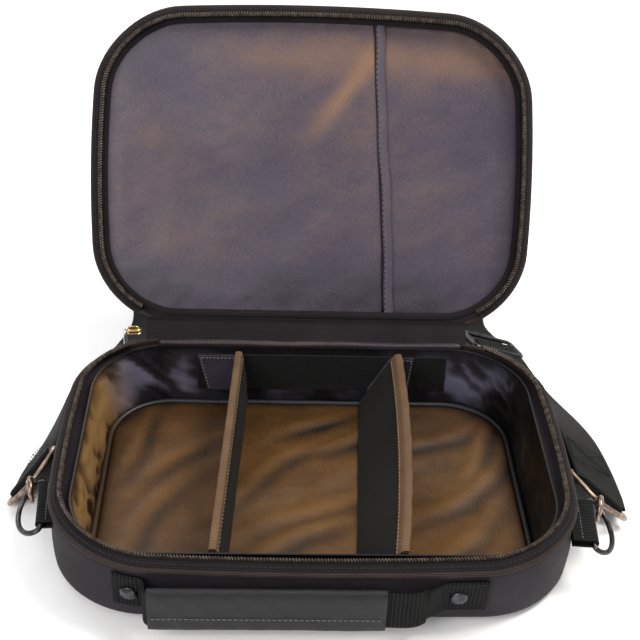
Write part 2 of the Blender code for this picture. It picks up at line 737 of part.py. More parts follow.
def strap_frames():
    """Centre, direction, width direction and face normal at each point of the strap."""
    points = strap_points()
    centres = [Vector(point[:3]) for point in points]
    frames = []
    for index, centre in enumerate(centres):
        before = centres[max(index - 1, 0)]
        after = centres[min(index + 1, len(points) - 1)]
        along = (after - before).normalized()
        level_out = along.cross(Z_AXIS).normalized()
        angle = math.radians(points[index][3])
        across = level_out * math.cos(angle) + Z_AXIS * math.sin(angle)
        across = (across - along * across.dot(along)).normalized()
        for side, end in (("left", centres[0]), ("right", centres[-1])):
            share = 1 - min((centre - end).length / STRAP_EASE, 1.0)
            share = share * share * (3 - 2 * share)
            across = across.lerp(loop_across(side), share)
        across.normalize()
        frames.append((centre, along, across, across.cross(along).normalized()))
    return frames


def ribbon(frames, lift):
    """Flat webbing over a run of the strap's frames, raised along their normals."""
    rings = []
    half = STRAP_WIDTH / 2
    for centre, _, across, normal in frames:
        low = centre + normal * (lift - STRAP_THICK / 2)
        high = centre + normal * (lift + STRAP_THICK / 2)
        corners = [low - across * half, low + across * half, high + across * half]
        rings.append([*corners, high - across * half])
    return skin(rings)


def make_strap():
    """The strap between its loops, its doubled end and the slide that sets its length."""
    frames = strap_frames()
    add("shoulder_strap", ribbon(frames, 0.0), "webbing")
    slide_at = ADJUSTER_AT * STRAP_STEPS
    add("strap_doubled_end", ribbon(frames[slide_at + 1 :], STRAP_THICK + 2 * GAP), "webbing")
    centre, along, across, normal = frames[slide_at]
    width, length, thick = ADJUSTER
    frame = Matrix((across, along, normal)).transposed().to_4x4()
    frame.translation = centre + normal * (STRAP_THICK / 2 + 2 * GAP) - along * 0.004
    xs = (-width / 2, 0.003 - width / 2, width / 2 - 0.003, width / 2)
    ys = [length * (share - 0.5) for share in (0, 0.14, 0.43, 0.57, 0.86, 1)]
    mesh = bmesh.new()
    grid = [[mesh.verts.new((x, y, 0)) for x in xs] for y in ys]
    for row in range(5):
        for column in range(3):
            if column == 1 and row in (1, 3):
                continue
            low, high = grid[row], grid[row + 1]
            mesh.faces.new((low[column], low[column + 1], high[column + 1], high[column]))
    made = bmesh.ops.extrude_face_region(mesh, geom=mesh.faces[:], use_keep_orig=True)
    raised = [item for item in made["geom"] if isinstance(item, bmesh.types.BMVert)]
    bmesh.ops.translate(mesh, verts=raised, vec=(0, 0, thick))
    bmesh.ops.recalc_face_normals(mesh, faces=mesh.faces)
    bmesh.ops.transform(mesh, matrix=frame, verts=mesh.verts)
    add("strap_slide", mesh, "gunmetal", smooth=False)


def make_slider():
    """Zipper slider parked at the hinge, and the pull that hangs outside from its end."""
    half_x, half_y, half_z = (size / 2 for size in SLIDER_SIZE)
    body = box(SLIDER - Vector((half_x, half_y, half_z)), SLIDER + Vector((half_x, half_y, half_z)))
    bmesh.ops.bevel(body, geom=body.edges[:], offset=0.0009, segments=2, affect="EDGES", profile=0.5)
    add("zipper_slider", body, "brass")
    pivot = SLIDER + Vector((-half_x - PULL_CLEAR, 0, 0.0))
    path = []
    for angle in arc(0, 330, 11):
        stretch = (PULL_LENGTH / 2 - PULL_HALF_WIDTH) * (1 if math.cos(angle) > 0 else -1)
        across = PULL_HALF_WIDTH * math.sin(angle)
        drop = PULL_HALF_WIDTH * math.cos(angle) + stretch
        path.append(pivot + Vector((0, across, drop - PULL_LENGTH / 2 + PULL_RISE)))
    swing = joint_empty("zipper_pull_swing", pivot)
    add("zipper_pull", tube(path, PULL_WIRE, 6, X_AXIS, closed=True), "steel", pivot, swing)


def main():
    clear_scene()
    make_base()
    make_rim()
    make_lid()
    make_divider("divider_left")
    make_divider("divider_right")
    make_handle()
    for side in SIDES:
        make_tab_and_ring(side)
        make_hook(side)
    make_strap()
    make_slider()


main()
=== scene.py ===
import math

import bmesh
import bpy
import numpy as np
from mathutils import Matrix, Vector, noise


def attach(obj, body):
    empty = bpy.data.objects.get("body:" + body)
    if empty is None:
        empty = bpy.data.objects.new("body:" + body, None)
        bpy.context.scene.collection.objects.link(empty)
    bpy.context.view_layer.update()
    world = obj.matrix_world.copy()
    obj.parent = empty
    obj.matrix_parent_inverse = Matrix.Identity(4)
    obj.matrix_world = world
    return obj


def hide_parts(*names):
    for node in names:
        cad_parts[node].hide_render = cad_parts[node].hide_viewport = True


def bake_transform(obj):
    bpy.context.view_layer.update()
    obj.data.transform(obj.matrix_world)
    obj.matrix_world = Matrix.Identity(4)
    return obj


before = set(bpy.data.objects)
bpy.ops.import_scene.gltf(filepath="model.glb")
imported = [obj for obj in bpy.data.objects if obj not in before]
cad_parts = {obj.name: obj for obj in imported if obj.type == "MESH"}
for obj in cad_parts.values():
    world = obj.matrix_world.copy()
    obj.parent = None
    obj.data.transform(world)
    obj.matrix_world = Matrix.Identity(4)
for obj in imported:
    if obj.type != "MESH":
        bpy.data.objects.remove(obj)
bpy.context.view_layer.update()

# ---------------------------------------------------------------- dimensions in metres, as in the CAD model
GAP = 0.0003
SEAM_Z = 0.044
CLOSE_Z = 0.051
WALL_TOP = 0.042
FLOOR_TOP = 0.009
ROOM_LOW_Z = 0.0032
LINING_LOW_Z = ROOM_LOW_Z + 0.0018
RIM_HALF, RIM_FRONT, RIM_BACK, RIM_RADIUS, RIM_BOW = 0.1395, -0.0975, 0.100, 0.053, 0.006
LINING = 0.001
LOOP_STRIP = 0.0012
TAB_CLOTH = 0.0012
TAB_LOW_Z, TAB_HIGH_Z = 0.017, 0.041
DIVIDER_HALF = 0.0025
HINGE = np.array([0.0, 0.105, CLOSE_Z])
LID_OPEN = math.radians(120.5)
LID_HALF, LID_FRONT, LID_BACK, LID_RADIUS = 0.1348, -0.0940, 0.1026, 0.0490
POCKET_EDGE = 0.0435
POCKET_SLANT = 0.0615
COIL_INSET, COIL_PITCH = 0.0046, 0.00165
HANDLE_LOW_Z, HANDLE_HIGH_Z = 0.0145, 0.0395
HANDLE_MID_Z = (HANDLE_LOW_Z + HANDLE_HIGH_Z) / 2
HANDLE_HALF = (HANDLE_HIGH_Z - HANDLE_LOW_Z) / 2
HANDLE_Y = -0.112
GRIP = (-0.087, 0.036)
STRAP_WIDTH = 0.038
STRAP_THICK = 0.002
RING_WIRE = 0.0015
RING_HALF = 0.0195
RING_CORNER = 0.003
TAB_Z = 0.033
HOOK_REACH = 0.0135
HOOK_WIRE = 0.0016
TAB_ROOT_X = 0.1465
RING_PULL = math.radians(28)
RING_DROOP = math.radians(30)
HOOK_DROP = math.radians(25)
# Each side: sign, Y of the tab, its turn, its ring's bar, ring depth, lean of the hook, tilt of the strap.
SIDES = {
    "left": (-1, -0.042, math.radians(5), 0.0040, 0.016, math.radians(10), math.radians(47)),
    "right": (1, -0.052, math.radians(5), 0.0075, 0.015, math.radians(15), math.radians(32)),
}
# Each divider: X of the top's middle, side of the tabs, askew, lean, bow, tab width at the top and bottom.
DIVIDERS = {
    "divider_left": (-0.0500, -1, 0.0045, 0.0040, 0.0000, 0.0240, 0.0205),
    "divider_right": (0.0505, 1, 0.0048, -0.0208, 0.0035, 0.0100, 0.0220),
}
DIVIDER_TOP = 0.0427
SLIDER = np.array([-0.113, 0.1002, 0.0502])
# Upper half of the slider's body: height as a share of its half height, and width as a share of the widest.
SLIDER_ROWS = ((0.2, 0.86), (0.35, 1.0), (0.8, 0.95), (1.0, 0.78))
# Points of the shoulder strap between its two hooks, with the tilt of its width in degrees.
STRAP_ROUTE = (
    (-0.1595, 0.030, 0.0170, 58), (-0.1540, 0.060, 0.0182, 68), (-0.1440, 0.085, 0.0178, 64),
    (-0.1340, 0.110, 0.0150, 48), (-0.1180, 0.141, 0.0115, 32), (-0.1070, 0.174, 0.0095, 25),
    (-0.1080, 0.212, 0.0087, 22), (-0.1060, 0.247, 0.0087, 22), (-0.0850, 0.276, 0.0080, 20),
    (-0.0450, 0.294, 0.0074, 18), (0.0020, 0.299, 0.0068, 16), (0.0490, 0.294, 0.0074, 18),
    (0.0900, 0.276, 0.0080, 20), (0.1120, 0.247, 0.0087, 22), (0.1140, 0.212, 0.0087, 22),
    (0.1130, 0.176, 0.0090, 23), (0.1300, 0.140, 0.0098, 26), (0.1450, 0.095, 0.0117, 32),
    (0.1655, 0.048, 0.0130, 35),
)
STRAP_STEPS = 24
ADJUSTER_AT = 17
STRAP_EASE = 0.035
STRAP_START = 0.018
LOOP_BAR = 0.0158
# Camera, picture and floor.
CAMERA_PLACE = (-0.02917, -0.55076, 0.515)
CAMERA_YAW, CAMERA_PITCH, CAMERA_ROLL = math.radians(-3.076), math.radians(34.831), math.radians(2.801)
FOCAL_PIXELS, PICTURE_PIXELS, SENSOR = 1241, 640, 36
FLOOR_REACH, FLOOR_Z = 4.0, -0.0004
UP = np.array([0.0, 0.0, 1.0])
TAU = 2 * math.pi
SQUARE = ((1, 1), (-1, 1), (-1, -1), (1, -1))
# Steps round each corner and along each side of an outline.
CORNER, EDGE = 18, 26


# ---------------------------------------------------------------- mesh helpers
class Shells:
    """Closed shells gathered into one mesh, with a UV map in metres named weave and a per-point value of tone
    and painted light.
    """

    def __init__(self):
        self.points = []
        self.faces = []
        self.uvs = []
        self.tones_and_painted_light = []
        self.count = 0

    def rows(self, rows, wrap=False, ring=False, caps=False, tone_and_painted_light=None):
        """A skin over rows of points; wrap joins each row's ends, ring joins the last row to the first."""
        rows = np.asarray(rows, float)
        count, size = rows.shape[:2]
        index = np.arange(count * size).reshape(count, size) + self.count
        along = np.linalg.norm(np.roll(rows, -1, 1) - rows, axis=2).mean(0)
        across = np.linalg.norm(np.roll(rows, -1, 0) - rows, axis=2).mean(1)
        u = np.concatenate([[0], np.cumsum(along)])
        v = np.concatenate([[0], np.cumsum(across)])
        i, j = np.meshgrid(
            np.arange(count if ring else count - 1), np.arange(size if wrap else size - 1), indexing="ij"
        )
        i, j = i.ravel(), j.ravel()
        i1, j1 = (i + 1) % count, (j + 1) % size
        quads = np.stack([index[i, j], index[i, j1], index[i1, j1], index[i1, j]], 1)
        uv = np.stack([u[j], v[i], u[j + 1], v[i], u[j + 1], v[i + 1], u[j], v[i + 1]], 1)
        self.faces += quads.tolist()
        self.uvs += uv.reshape(-1, 2).tolist()
        if caps:
            for ring_row, points in ((index[0][::-1], rows[0][::-1]), (index[-1], rows[-1])):
                self.faces.append(ring_row.tolist())
                self.uvs += points[:, :2].tolist()
        self.points.append(rows.reshape(-1, 3))
        shade = np.zeros(count * size) if tone_and_painted_light is None else np.broadcast_to(tone_and_painted_light, (count, size)).ravel()
        self.tones_and_painted_light.append(shade)
        self.count += count * size
        return self

    def mesh(self, name):
        data = bpy.data.meshes.new(name)
        data.from_pydata(np.concatenate(self.points).tolist(), [], self.faces)
        layer = data.uv_layers.new(name="weave")
        layer.data.foreach_set("uv", np.asarray(self.uvs, np.float32).ravel())
        tone_and_painted_light = data.attributes.new("tone_and_painted_light", "FLOAT", "POINT")
        tone_and_painted_light.data.foreach_set("value", np.concatenate(self.tones_and_painted_light).astype(np.float32))
        work = bmesh.new()
        work.from_mesh(data)
        bmesh.ops.recalc_face_normals(work, faces=work.faces)
        work.to_mesh(data)
        work.free()
        data.shade_smooth()
        data.set_sharp_from_angle(angle=math.radians(50))
        return data


def solid(rows):
    """A closed skin over rows of points that each go round, capped at both ends."""
    return Shells().rows(rows, wrap=True, caps=True)


def hoop(rows, tone_and_painted_light=None):
    """A closed skin over rows of points that each go round, with the last row joined to the first."""
    return Shells().rows(rows, wrap=True, ring=True, tone_and_painted_light=tone_and_painted_light)


def close_holes(thing):
    mesh = bmesh.new()
    mesh.from_mesh(thing.data)
    bmesh.ops.holes_fill(mesh, edges=[e for e in mesh.edges if e.is_boundary], sides=0)
    bmesh.ops.recalc_face_normals(mesh, faces=mesh.faces)
    mesh.to_mesh(thing.data)
    mesh.free()


def piece(name, shells, finish, body, nodes=()):
    """Makes one piece that rides on a body, wears a finish and stands for CAD nodes."""
    data = shells.mesh(name)
    data.materials.append(finish)
    thing = bpy.data.objects.new(name, data)
    bpy.context.scene.collection.objects.link(thing)
    if body:
        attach(thing, body)
    if nodes:
        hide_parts(*nodes)
    return thing


def lerp(low, high, share):
    return low + (high - low) * share


def smooth(low, high, value):
    share = np.clip((np.asarray(value, float) - low) / (high - low), 0, 1)
    return share * share * (3 - 2 * share)


def unit(vector):
    vector = np.asarray(vector, float)
    return vector / np.linalg.norm(vector, axis=-1, keepdims=True)


def tube_rows(path, radius, sides, closed=False, up=(0, 0, 1)):
    """Rings round a path; up sets where each ring starts."""
    path = np.asarray(path, float)
    if closed:
        tangent = np.roll(path, -1, 0) - np.roll(path, 1, 0)
    else:
        tangent = np.gradient(path, axis=0)
    tangent = unit(tangent)
    side = unit(np.cross(np.asarray(up, float), tangent))
    rise = np.cross(tangent, side)
    angle = TAU * (np.arange(sides) + 0.5) / sides
    radius = np.broadcast_to(np.asarray(radius, float), (len(path),))[:, None, None]
    circle = np.cos(angle)[None, :, None] * side[:, None] + np.sin(angle)[None, :, None] * rise[:, None]
    return path[:, None] + radius * circle


def dome(ring, centre, outward):
    """Rings that close a tube's end with a small dome."""
    reach = np.linalg.norm(ring - centre, axis=1).max()
    return [centre + (ring - centre) * s + outward * reach * math.sqrt(1 - s * s) for s in (0.85, 0.5, 0.12)]


def tube(shells, path, radius, sides, closed=False, up=(0, 0, 1)):
    path = np.asarray(path, float)
    rows = tube_rows(path, radius, sides, closed, up)
    if closed:
        return shells.rows(rows, wrap=True, ring=True)
    start = dome(rows[0], path[0], -unit(path[1] - path[0]))
    end = dome(rows[-1], path[-1], unit(path[-1] - path[-2]))
    return shells.rows(np.concatenate([start[::-1], rows, end]), wrap=True, caps=True)


def resample(path, step, closed=False):
    """Points at equal steps along a path."""
    path = np.asarray(path, float)
    if closed:
        path = np.concatenate([path, path[:1]])
    reach = np.concatenate([[0], np.cumsum(np.linalg.norm(np.diff(path, axis=0), axis=1))])
    count = max(int(round(reach[-1] / step)), 2)
    places = np.linspace(0, reach[-1], count + 1)
    points = np.stack([np.interp(places, reach, path[:, axis]) for axis in range(path.shape[1])], 1)
    return points[:-1] if closed else points


def curve(points, steps):
    """A Catmull-Rom curve through points of any width."""
    route = np.asarray(points, float)
    route = np.concatenate([route[:1], route, route[-1:]])
    made = []
    for index in range(1, len(route) - 2):
        a, b, c, d = route[index - 1 : index + 3]
        for step in range(steps):
            t = step / steps
            rise = 2 * a - 5 * b + 4 * c - d
            twist = 3 * b - 3 * c + d - a
            made.append(0.5 * (2 * b + (c - a) * t + rise * t**2 + twist * t**3))
    made.append(route[-2])
    return np.array(made)


def ripple(points, scale, seed, depth=2):
    """Smooth noise from -1 to 1 at each point."""
    flat = np.asarray(points, float).reshape(-1, 3)
    values = [noise.fractal(Vector(p) * scale + Vector((seed, seed, seed)), 1.0, 2.0, depth) for p in flat]
    return np.clip(np.array(values), -1, 1).reshape(np.asarray(points).shape[:-1])


def stitches(shells, path, normals, pitch, share=0.68):
    """Thread lying along a path in even stitches that dip at both ends."""
    thick, sides = 0.00028, 6
    path = np.asarray(path, float)
    normals = np.broadcast_to(np.asarray(normals, float), path.shape)
    both = resample(np.concatenate([path, normals], 1), pitch)
    for here, after in zip(both[:-1], both[1:]):
        start, end = here[:3], after[:3]
        normal = unit(here[3:])
        along = unit(end - start)
        side = np.cross(along, normal)
        length = np.linalg.norm(end - start) * share
        rings = []
        for place, size in ((0, 0.25), (0.12, 0.75), (0.5, 1.0), (0.88, 0.75), (1, 0.25)):
            rise = thick * (1.1 * math.sin(math.pi * place) - 0.35)
            centre = start + along * length * place + normal * rise
            angle = TAU * np.arange(sides) / sides
            circle = np.cos(angle)[:, None] * side + np.sin(angle)[:, None] * normal
            rings.append(centre + thick * size * circle)
        shells.rows(rings, wrap=True, caps=True)


def sewn(name, finish, slot, body, *runs):
    """A piece of stitches; each run is a path, its normals, a pitch and maybe a share."""
    shells = Shells()
    for run in runs:
        stitches(shells, *run)
    piece(name, shells, finish, body)


# ---------------------------------------------------------------- outlines of the case
def outline(half, front, back, radius, bow, inset):
    """Points of a rounded rectangle, anticlockwise from its back right corner; front and sides bow out."""
    half, front, back, radius = half - inset, front + inset, back - inset, radius - inset
    middle, depth = (front + back) / 2, (back - front) / 2
    points = []
    corners = [np.array([x * (half - radius), middle + y * (depth - radius)]) for x, y in SQUARE]
    for index, corner in enumerate(corners):
        angle = np.radians(90 * (index + np.arange(CORNER + 1) / CORNER))
        points += list(corner + radius * np.stack([np.cos(angle), np.sin(angle)], 1))
        turn = math.radians(90 * (index + 1))
        end = corners[(index + 1) % 4] + radius * np.array([math.cos(turn), math.sin(turn)])
        start = points[-1]
        points += [lerp(start, end, step / EDGE) for step in range(1, EDGE)]
    points = np.array(points)
    across, along = points[:, 0] / half, (points[:, 1] - middle) / depth
    out_x = bow * across * np.abs(across) * (1 - along**2)
    out_y = np.where(along < 0, bow * along**2 * (1 - across**2), 0.0)
    return points + np.stack([out_x, -out_y], 1)


def open_run(points):
    """The outline from the hinge's left end round the front to its right end."""
    start = CORNER + EDGE + CORNER // 3
    return np.concatenate([points[start:], points[: 2 * CORNER // 3 + 1]])


def level(points, z):
    return np.column_stack([points, np.broadcast_to(np.asarray(z, float), (len(points),))])


def base_outline(z, inset=0.0):
    share = min(z / WALL_TOP, 1.0)
    spread = 1 - share
    half, front, back = RIM_HALF + 0.0055 * spread, RIM_FRONT + 0.003 * spread, RIM_BACK - 0.001 * spread
    return outline(half, front, back, RIM_RADIUS + 0.001 * spread, lerp(0.001, RIM_BOW, share), inset)


def rim_outline(inset):
    return outline(RIM_HALF, RIM_FRONT, RIM_BACK, RIM_RADIUS, RIM_BOW, inset)


def lid_outline(inset):
    return outline(LID_HALF, LID_FRONT, LID_BACK, LID_RADIUS, RIM_BOW, inset)


LID_CENTRE = np.array([0.0, (LID_FRONT + LID_BACK) / 2])


def room_share(z):
    return (z - ROOM_LOW_Z) / (WALL_TOP - ROOM_LOW_Z)


def room_depth(z):
    """Half the room's depth from front to back at a height."""
    return lerp(0.0854, 0.0916, room_share(z))


def room_outline(z, inset=0.0):
    share = room_share(z)
    depth = room_depth(z)
    return outline(lerp(0.1274, 0.134, share), -depth, depth, lerp(0.040, 0.046, share), 0.0, inset)


def opened(points):
    """Turns points of the closed lid to the lid's open place."""
    points = np.asarray(points, float)
    y, z = points[..., 1] - HINGE[1], points[..., 2] - HINGE[2]
    c, s = math.cos(LID_OPEN), math.sin(LID_OPEN)
    return np.stack([points[..., 0], HINGE[1] + y * c + z * s, HINGE[2] - y * s + z * c], -1)


def front_wall_y(x, z):
    points = base_outline(z)
    lower = points[points[:, 1] < 0]
    lower = lower[np.argsort(lower[:, 0])]
    return float(np.interp(x, lower[:, 0], lower[:, 1]))


def push(points, amount):
    """Moves a row's points along its outward normals in plan."""
    tangent = np.roll(points, -1, 0)[:, :2] - np.roll(points, 1, 0)[:, :2]
    normal = np.stack([tangent[:, 1], -tangent[:, 0]], 1)
    normal /= np.linalg.norm(normal, axis=1)[:, None]
    moved = points.copy()
    moved[:, :2] += normal * np.asarray(amount)[:, None]
    return moved


# ---------------------------------------------------------------- camera, light and floor
def make_stage():
    scene = bpy.context.scene
    yaw, pitch, roll = CAMERA_YAW, CAMERA_PITCH, CAMERA_ROLL
    right = Vector((math.cos(yaw), math.sin(yaw), 0))
    forward = Vector((-math.sin(yaw) * math.cos(pitch), math.cos(yaw) * math.cos(pitch), -math.sin(pitch)))
    up = right.cross(forward)
    turned = right * math.cos(roll) + up * math.sin(roll)
    raised = -right * math.sin(roll) + up * math.cos(roll)
    placed = Matrix((turned, raised, -forward)).transposed().to_4x4()
    placed.translation = Vector(CAMERA_PLACE)
    data = bpy.data.cameras.new("camera")
    data.sensor_width = SENSOR
    data.lens = SENSOR * FOCAL_PIXELS / PICTURE_PIXELS
    data.clip_start = 0.01
    camera = bpy.data.objects.new("camera", data)
    camera.matrix_world = placed
    scene.collection.objects.link(camera)
    scene.camera = camera
    scene.view_settings.view_transform = "Standard"

    world = bpy.data.worlds.new("studio")
    world.use_nodes = True
    background = world.node_tree.nodes["Background"].inputs
    background["Color"].default_value = (1.0, 1.0, 1.0, 1)
    background["Strength"].default_value = 0.62
    scene.world = world
    lamps = (
        ("key", (0.62, 0.10, 1.10), (0.0, 0.02, 0.03), 0.60, 15.0, (1.0, 0.97, 0.93)),
        ("front", (-0.75, -0.95, 0.90), (0.0, 0.0, 0.05), 0.90, 12.0, (1.0, 0.98, 0.97)),
        ("rim", (-0.60, 0.75, 0.80), (0.0, 0.05, 0.05), 0.60, 5.0, (0.94, 0.96, 1.0)),
    )
    for name, place, target, size, power, colour in lamps:
        lamp = bpy.data.lights.new(name, "AREA")
        lamp.shape = "DISK"
        lamp.size = size
        lamp.energy = power
        lamp.color = colour
        holder = bpy.data.objects.new(name, lamp)
        holder.location = place
        holder.rotation_euler = (Vector(target) - Vector(place)).to_track_quat("-Z", "Y").to_euler()
        scene.collection.objects.link(holder)

    data = bpy.data.meshes.new("floor")
    corners = ((-1, -1), (1, -1), (1, 1), (-1, 1))
    data.from_pydata([(x * FLOOR_REACH, y * FLOOR_REACH, FLOOR_Z) for x, y in corners], [], [(0, 1, 2, 3)])
    floor = bpy.data.objects.new("floor", data)
    scene.collection.objects.link(floor)
    paper = bpy.data.materials.new("paper")
    paper.use_nodes = True
    shader = paper.node_tree.nodes["Principled BSDF"]
    shader.inputs["Base Color"].default_value = (0.97, 0.97, 0.97, 1)
    shader.inputs["Roughness"].default_value = 0.9
    data.materials.append(paper)


make_stage()


# ---------------------------------------------------------------- finishes
def node(tree, kind, inputs=None, **props):
    item = tree.nodes.new("ShaderNode" + kind)
    for key, value in props.items():
        setattr(item, key, value)
    for key, value in (inputs or {}).items():
        if isinstance(value, bpy.types.NodeSocket):
            tree.links.new(value, item.inputs[key])
        else:
            item.inputs[key].default_value = value
    return item


class Finish:
    """A material whose colour, roughness and bump come from nodes."""

    def __init__(self, name, roughness=0.5, metallic=0.0, **constants):
        self.material = bpy.data.materials.new(name)
        self.material.use_nodes = True
        self.tree = self.material.node_tree
        self.shader = self.tree.nodes["Principled BSDF"]
        self.shader.inputs["Metallic"].default_value = metallic
        self.shader.inputs["Roughness"].default_value = roughness
        self.shader.inputs["Specular IOR Level"].default_value = 0.18
        for key, value in constants.items():
            self.shader.inputs[key.replace("_", " ")].default_value = value
        self.place = node(self.tree, "TexCoord").outputs["Object"]
        uv = node(self.tree, "UVMap", uv_map="weave").outputs["UV"]
        parts = node(self.tree, "SeparateXYZ", {0: uv})
        self.u, self.v = parts.outputs[0], parts.outputs[1]

    def math(self, kind, a, b=0.0):
        return node(self.tree, "Math", {0: a, 1: b}, operation=kind).outputs[0]

    def add(self, a, b):
        return self.math("ADD", a, b)

    def mul(self, a, b):
        return self.math("MULTIPLY", a, b)

    def scaled(self, value, by, plus):
        return self.add(self.mul(value, by), plus)

    def sine(self, along, pitch):
        """From 0 to 1 and back over each pitch."""
        return self.scaled(self.math("SINE", self.scaled(along, TAU / pitch, 0.0)), 0.5, 0.5)

    def noise(self, scale, detail=3.0, rough=0.55, stretch=None):
        """Noise in the piece's own space; stretch gives a rotation and a scale for it."""
        vector = self.place
        if stretch:
            values = {"Vector": vector, "Rotation": stretch[0], "Scale": stretch[1]}
            vector = node(self.tree, "Mapping", values).outputs[0]
        values = {"Vector": vector, "Scale": scale, "Detail": detail, "Roughness": rough}
        return node(self.tree, "TexNoise", values).outputs["Fac"]

    def ramp(self, value, *stops):
        item = node(self.tree, "ValToRGB", {0: value})
        while len(item.color_ramp.elements) < len(stops):
            item.color_ramp.elements.new(0.5)
        for element, (place, colour) in zip(item.color_ramp.elements, stops):
            element.position = place
            element.color = (*colour, 1)
        return item.outputs[0]

    def mix(self, share, a, b):
        return node(self.tree, "Mix", {0: share, 6: a, 7: b}, data_type="RGBA").outputs[2]

    # The mesh's per-point tone and painted light.
    def tone_and_painted_light(self):
        return node(self.tree, "Attribute", attribute_name="tone_and_painted_light").outputs["Fac"]

    def set(self, colour, roughness, bumps):
        """Wires the colour, the roughness if given, and bumps of (height, distance, strength)."""
        self.tree.links.new(colour, self.shader.inputs["Base Color"])
        if roughness is not None:
            self.tree.links.new(roughness, self.shader.inputs["Roughness"])
        last = None
        for height, distance, strength in bumps:
            values = {"Height": height, "Distance": distance, "Strength": strength}
            last = node(self.tree, "Bump", values | ({"Normal": last} if last else {})).outputs[0]
        self.tree.links.new(last, self.shader.inputs["Normal"])
        return self.material


def woven(name, dark, light, rough):
    """Plain-woven nylon: crossing threads with dye that varies a little."""
    pitch, depth = 0.0006, 0.00012
    f = Finish(name, rough, Sheen_Weight=0.03, Sheen_Roughness=0.4, Sheen_Tint=(1, 1, 1, 1))
    warp, weft = f.sine(f.u, pitch), f.sine(f.v, pitch)
    check = f.mul(f.math("SUBTRACT", warp, 0.5), f.math("SUBTRACT", weft, 0.5))
    weave = f.scaled(check, 2.0, 0.5)
    mixed = f.scaled(f.noise(22, 4), 0.75, f.mul(weave, 0.25))
    colour = f.ramp(mixed, (0.30, dark), (0.70, light))
    roughness = f.scaled(f.noise(60), 0.2, rough - 0.1)
    grain = f.noise(900, 2)
    return f.set(colour, roughness, ((weave, depth, 0.8), (grain, depth * 0.7, 0.5)))


def ribbed(name, dark, light, pitch, across, rough=0.8, depth=0.00022, along_u=False):
    """Woven webbing or tape: ribs one way, finer threads the other."""
    f = Finish(name, rough, Specular_IOR_Level=0.09)
    first, second = (f.u, f.v) if along_u else (f.v, f.u)
    ribs = f.sine(first, pitch)
    shift = f.mul(f.sine(second, across), 0.5)
    weave = f.add(ribs, f.mul(shift, f.math("SUBTRACT", 1.0, ribs)))
    mixed = f.scaled(weave, 0.6, f.mul(f.noise(45, 3), 0.4))
    colour = f.ramp(mixed, (0.25, dark), (0.95, light))
    return f.set(colour, None, ((weave, depth, 0.9), (f.noise(1200, 2), depth * 0.4, 0.5)))


def satin(name, shade, base, bright, rough, tilt, sheen=0.03, sheen_tint=(1, 0.8, 0.6, 1), scale=9.0):
    """Thin shiny lining: stretched noise paints the sheen and shade of long folds into its tone, with the
    mesh's painted light added, over very fine threads.
    """
    f = Finish(
        name, rough, Sheen_Weight=sheen, Sheen_Roughness=0.35, Sheen_Tint=sheen_tint,
        Anisotropic=0.45, Specular_IOR_Level=0.28,
    )
    painted_fold_light = f.noise(scale, 3, 0.45, ((0, 0, tilt), (1.0, 3.2, 1.0)))
    fine = f.noise(scale * 9, 3, 0.5, ((0, 0, tilt), (1.0, 2.5, 1.0)))
    tone = f.scaled(painted_fold_light, 0.25, f.mul(fine, 0.12))
    tone = f.add(f.add(tone, 0.315), f.mul(f.tone_and_painted_light(), 0.6))
    threads = f.sine(f.u, 0.0007)
    slub = f.noise(500, 2, 0.5, ((0, 0, 0), (0.08, 1.0, 1.0)))
    grain = f.noise(1500, 2, 0.6, ((0, 0, 0), (1.0, 0.3, 0.3)))
    tone = f.add(tone, f.mul(f.math("SUBTRACT", grain, 0.5), 0.30))
    colour = f.ramp(tone, (0.20, shade), (0.50, base), (0.85, bright))
    roughness = f.scaled(slub, 0.16, rough - 0.08)
    puckers = f.noise(90, 3, 0.5, ((0, 0, tilt), (0.5, 1.6, 1.0)))
    bumps = ((puckers, 0.0006, 0.35), (threads, 0.00005, 0.5), (slub, 0.00006, 0.5))
    return f.set(colour, roughness, bumps)


def wall_satin():
    """Wall lining with painted light: a painted bronze sheen at the left, a painted blue grey sheen across
    the back, and painted near-black shade at the right.
    """
    f = Finish("wall_lining", 0.42, Specular_IOR_Level=0.35, Anisotropic=0.4)
    across = node(f.tree, "SeparateXYZ", {0: f.place})
    # Painted light: stretched noise paints the sheen and shade of upright folds. The three ramps below are
    # one satin painted under different light, chosen by place: a painted bronze sheen on the lit left wall,
    # painted near-black shade at the right, and a painted blue grey sheen across the back.
    painted_fold_light = f.noise(11.0, 4, 0.5, ((0, 0, 0.5), (1.0, 1.0, 2.2)))
    tone = f.scaled(painted_fold_light, 0.7, f.mul(f.tone_and_painted_light(), 0.55))
    lit_bronze_sheen = ((0.25, (0.010, 0.006, 0.003)), (0.45, (0.060, 0.032, 0.012)), (0.75, (0.22, 0.125, 0.045)))
    shaded_black = ((0.30, (0.0012, 0.0011, 0.0012)), (0.55, (0.006, 0.005, 0.005)), (0.90, (0.030, 0.026, 0.028)))
    blue_grey_sheen = ((0.30, (0.002, 0.002, 0.0025)), (0.50, (0.016, 0.015, 0.020)), (0.75, (0.095, 0.092, 0.135)))
    lit_left_share = node(f.tree, "MapRange", {0: across.outputs[0], 1: -0.075, 2: -0.105}).outputs[0]
    back_sheen_share = node(f.tree, "MapRange", {0: across.outputs[1], 1: 0.055, 2: 0.080}).outputs[0]
    colour = f.mix(lit_left_share, f.ramp(tone, *shaded_black), f.ramp(tone, *lit_bronze_sheen))
    colour = f.mix(back_sheen_share, colour, f.ramp(tone, *blue_grey_sheen))
    threads = f.sine(f.u, 0.0007)
    puckers = f.noise(90, 3, 0.5, ((0, 0, 0.4), (0.5, 0.5, 1.6)))
    slub = f.noise(500, 2)
    roughness = f.scaled(slub, 0.16, 0.34)
    return f.set(colour, roughness, ((puckers, 0.0006, 0.4), (threads, 0.00005, 0.5), (slub, 0.00006, 0.4)))


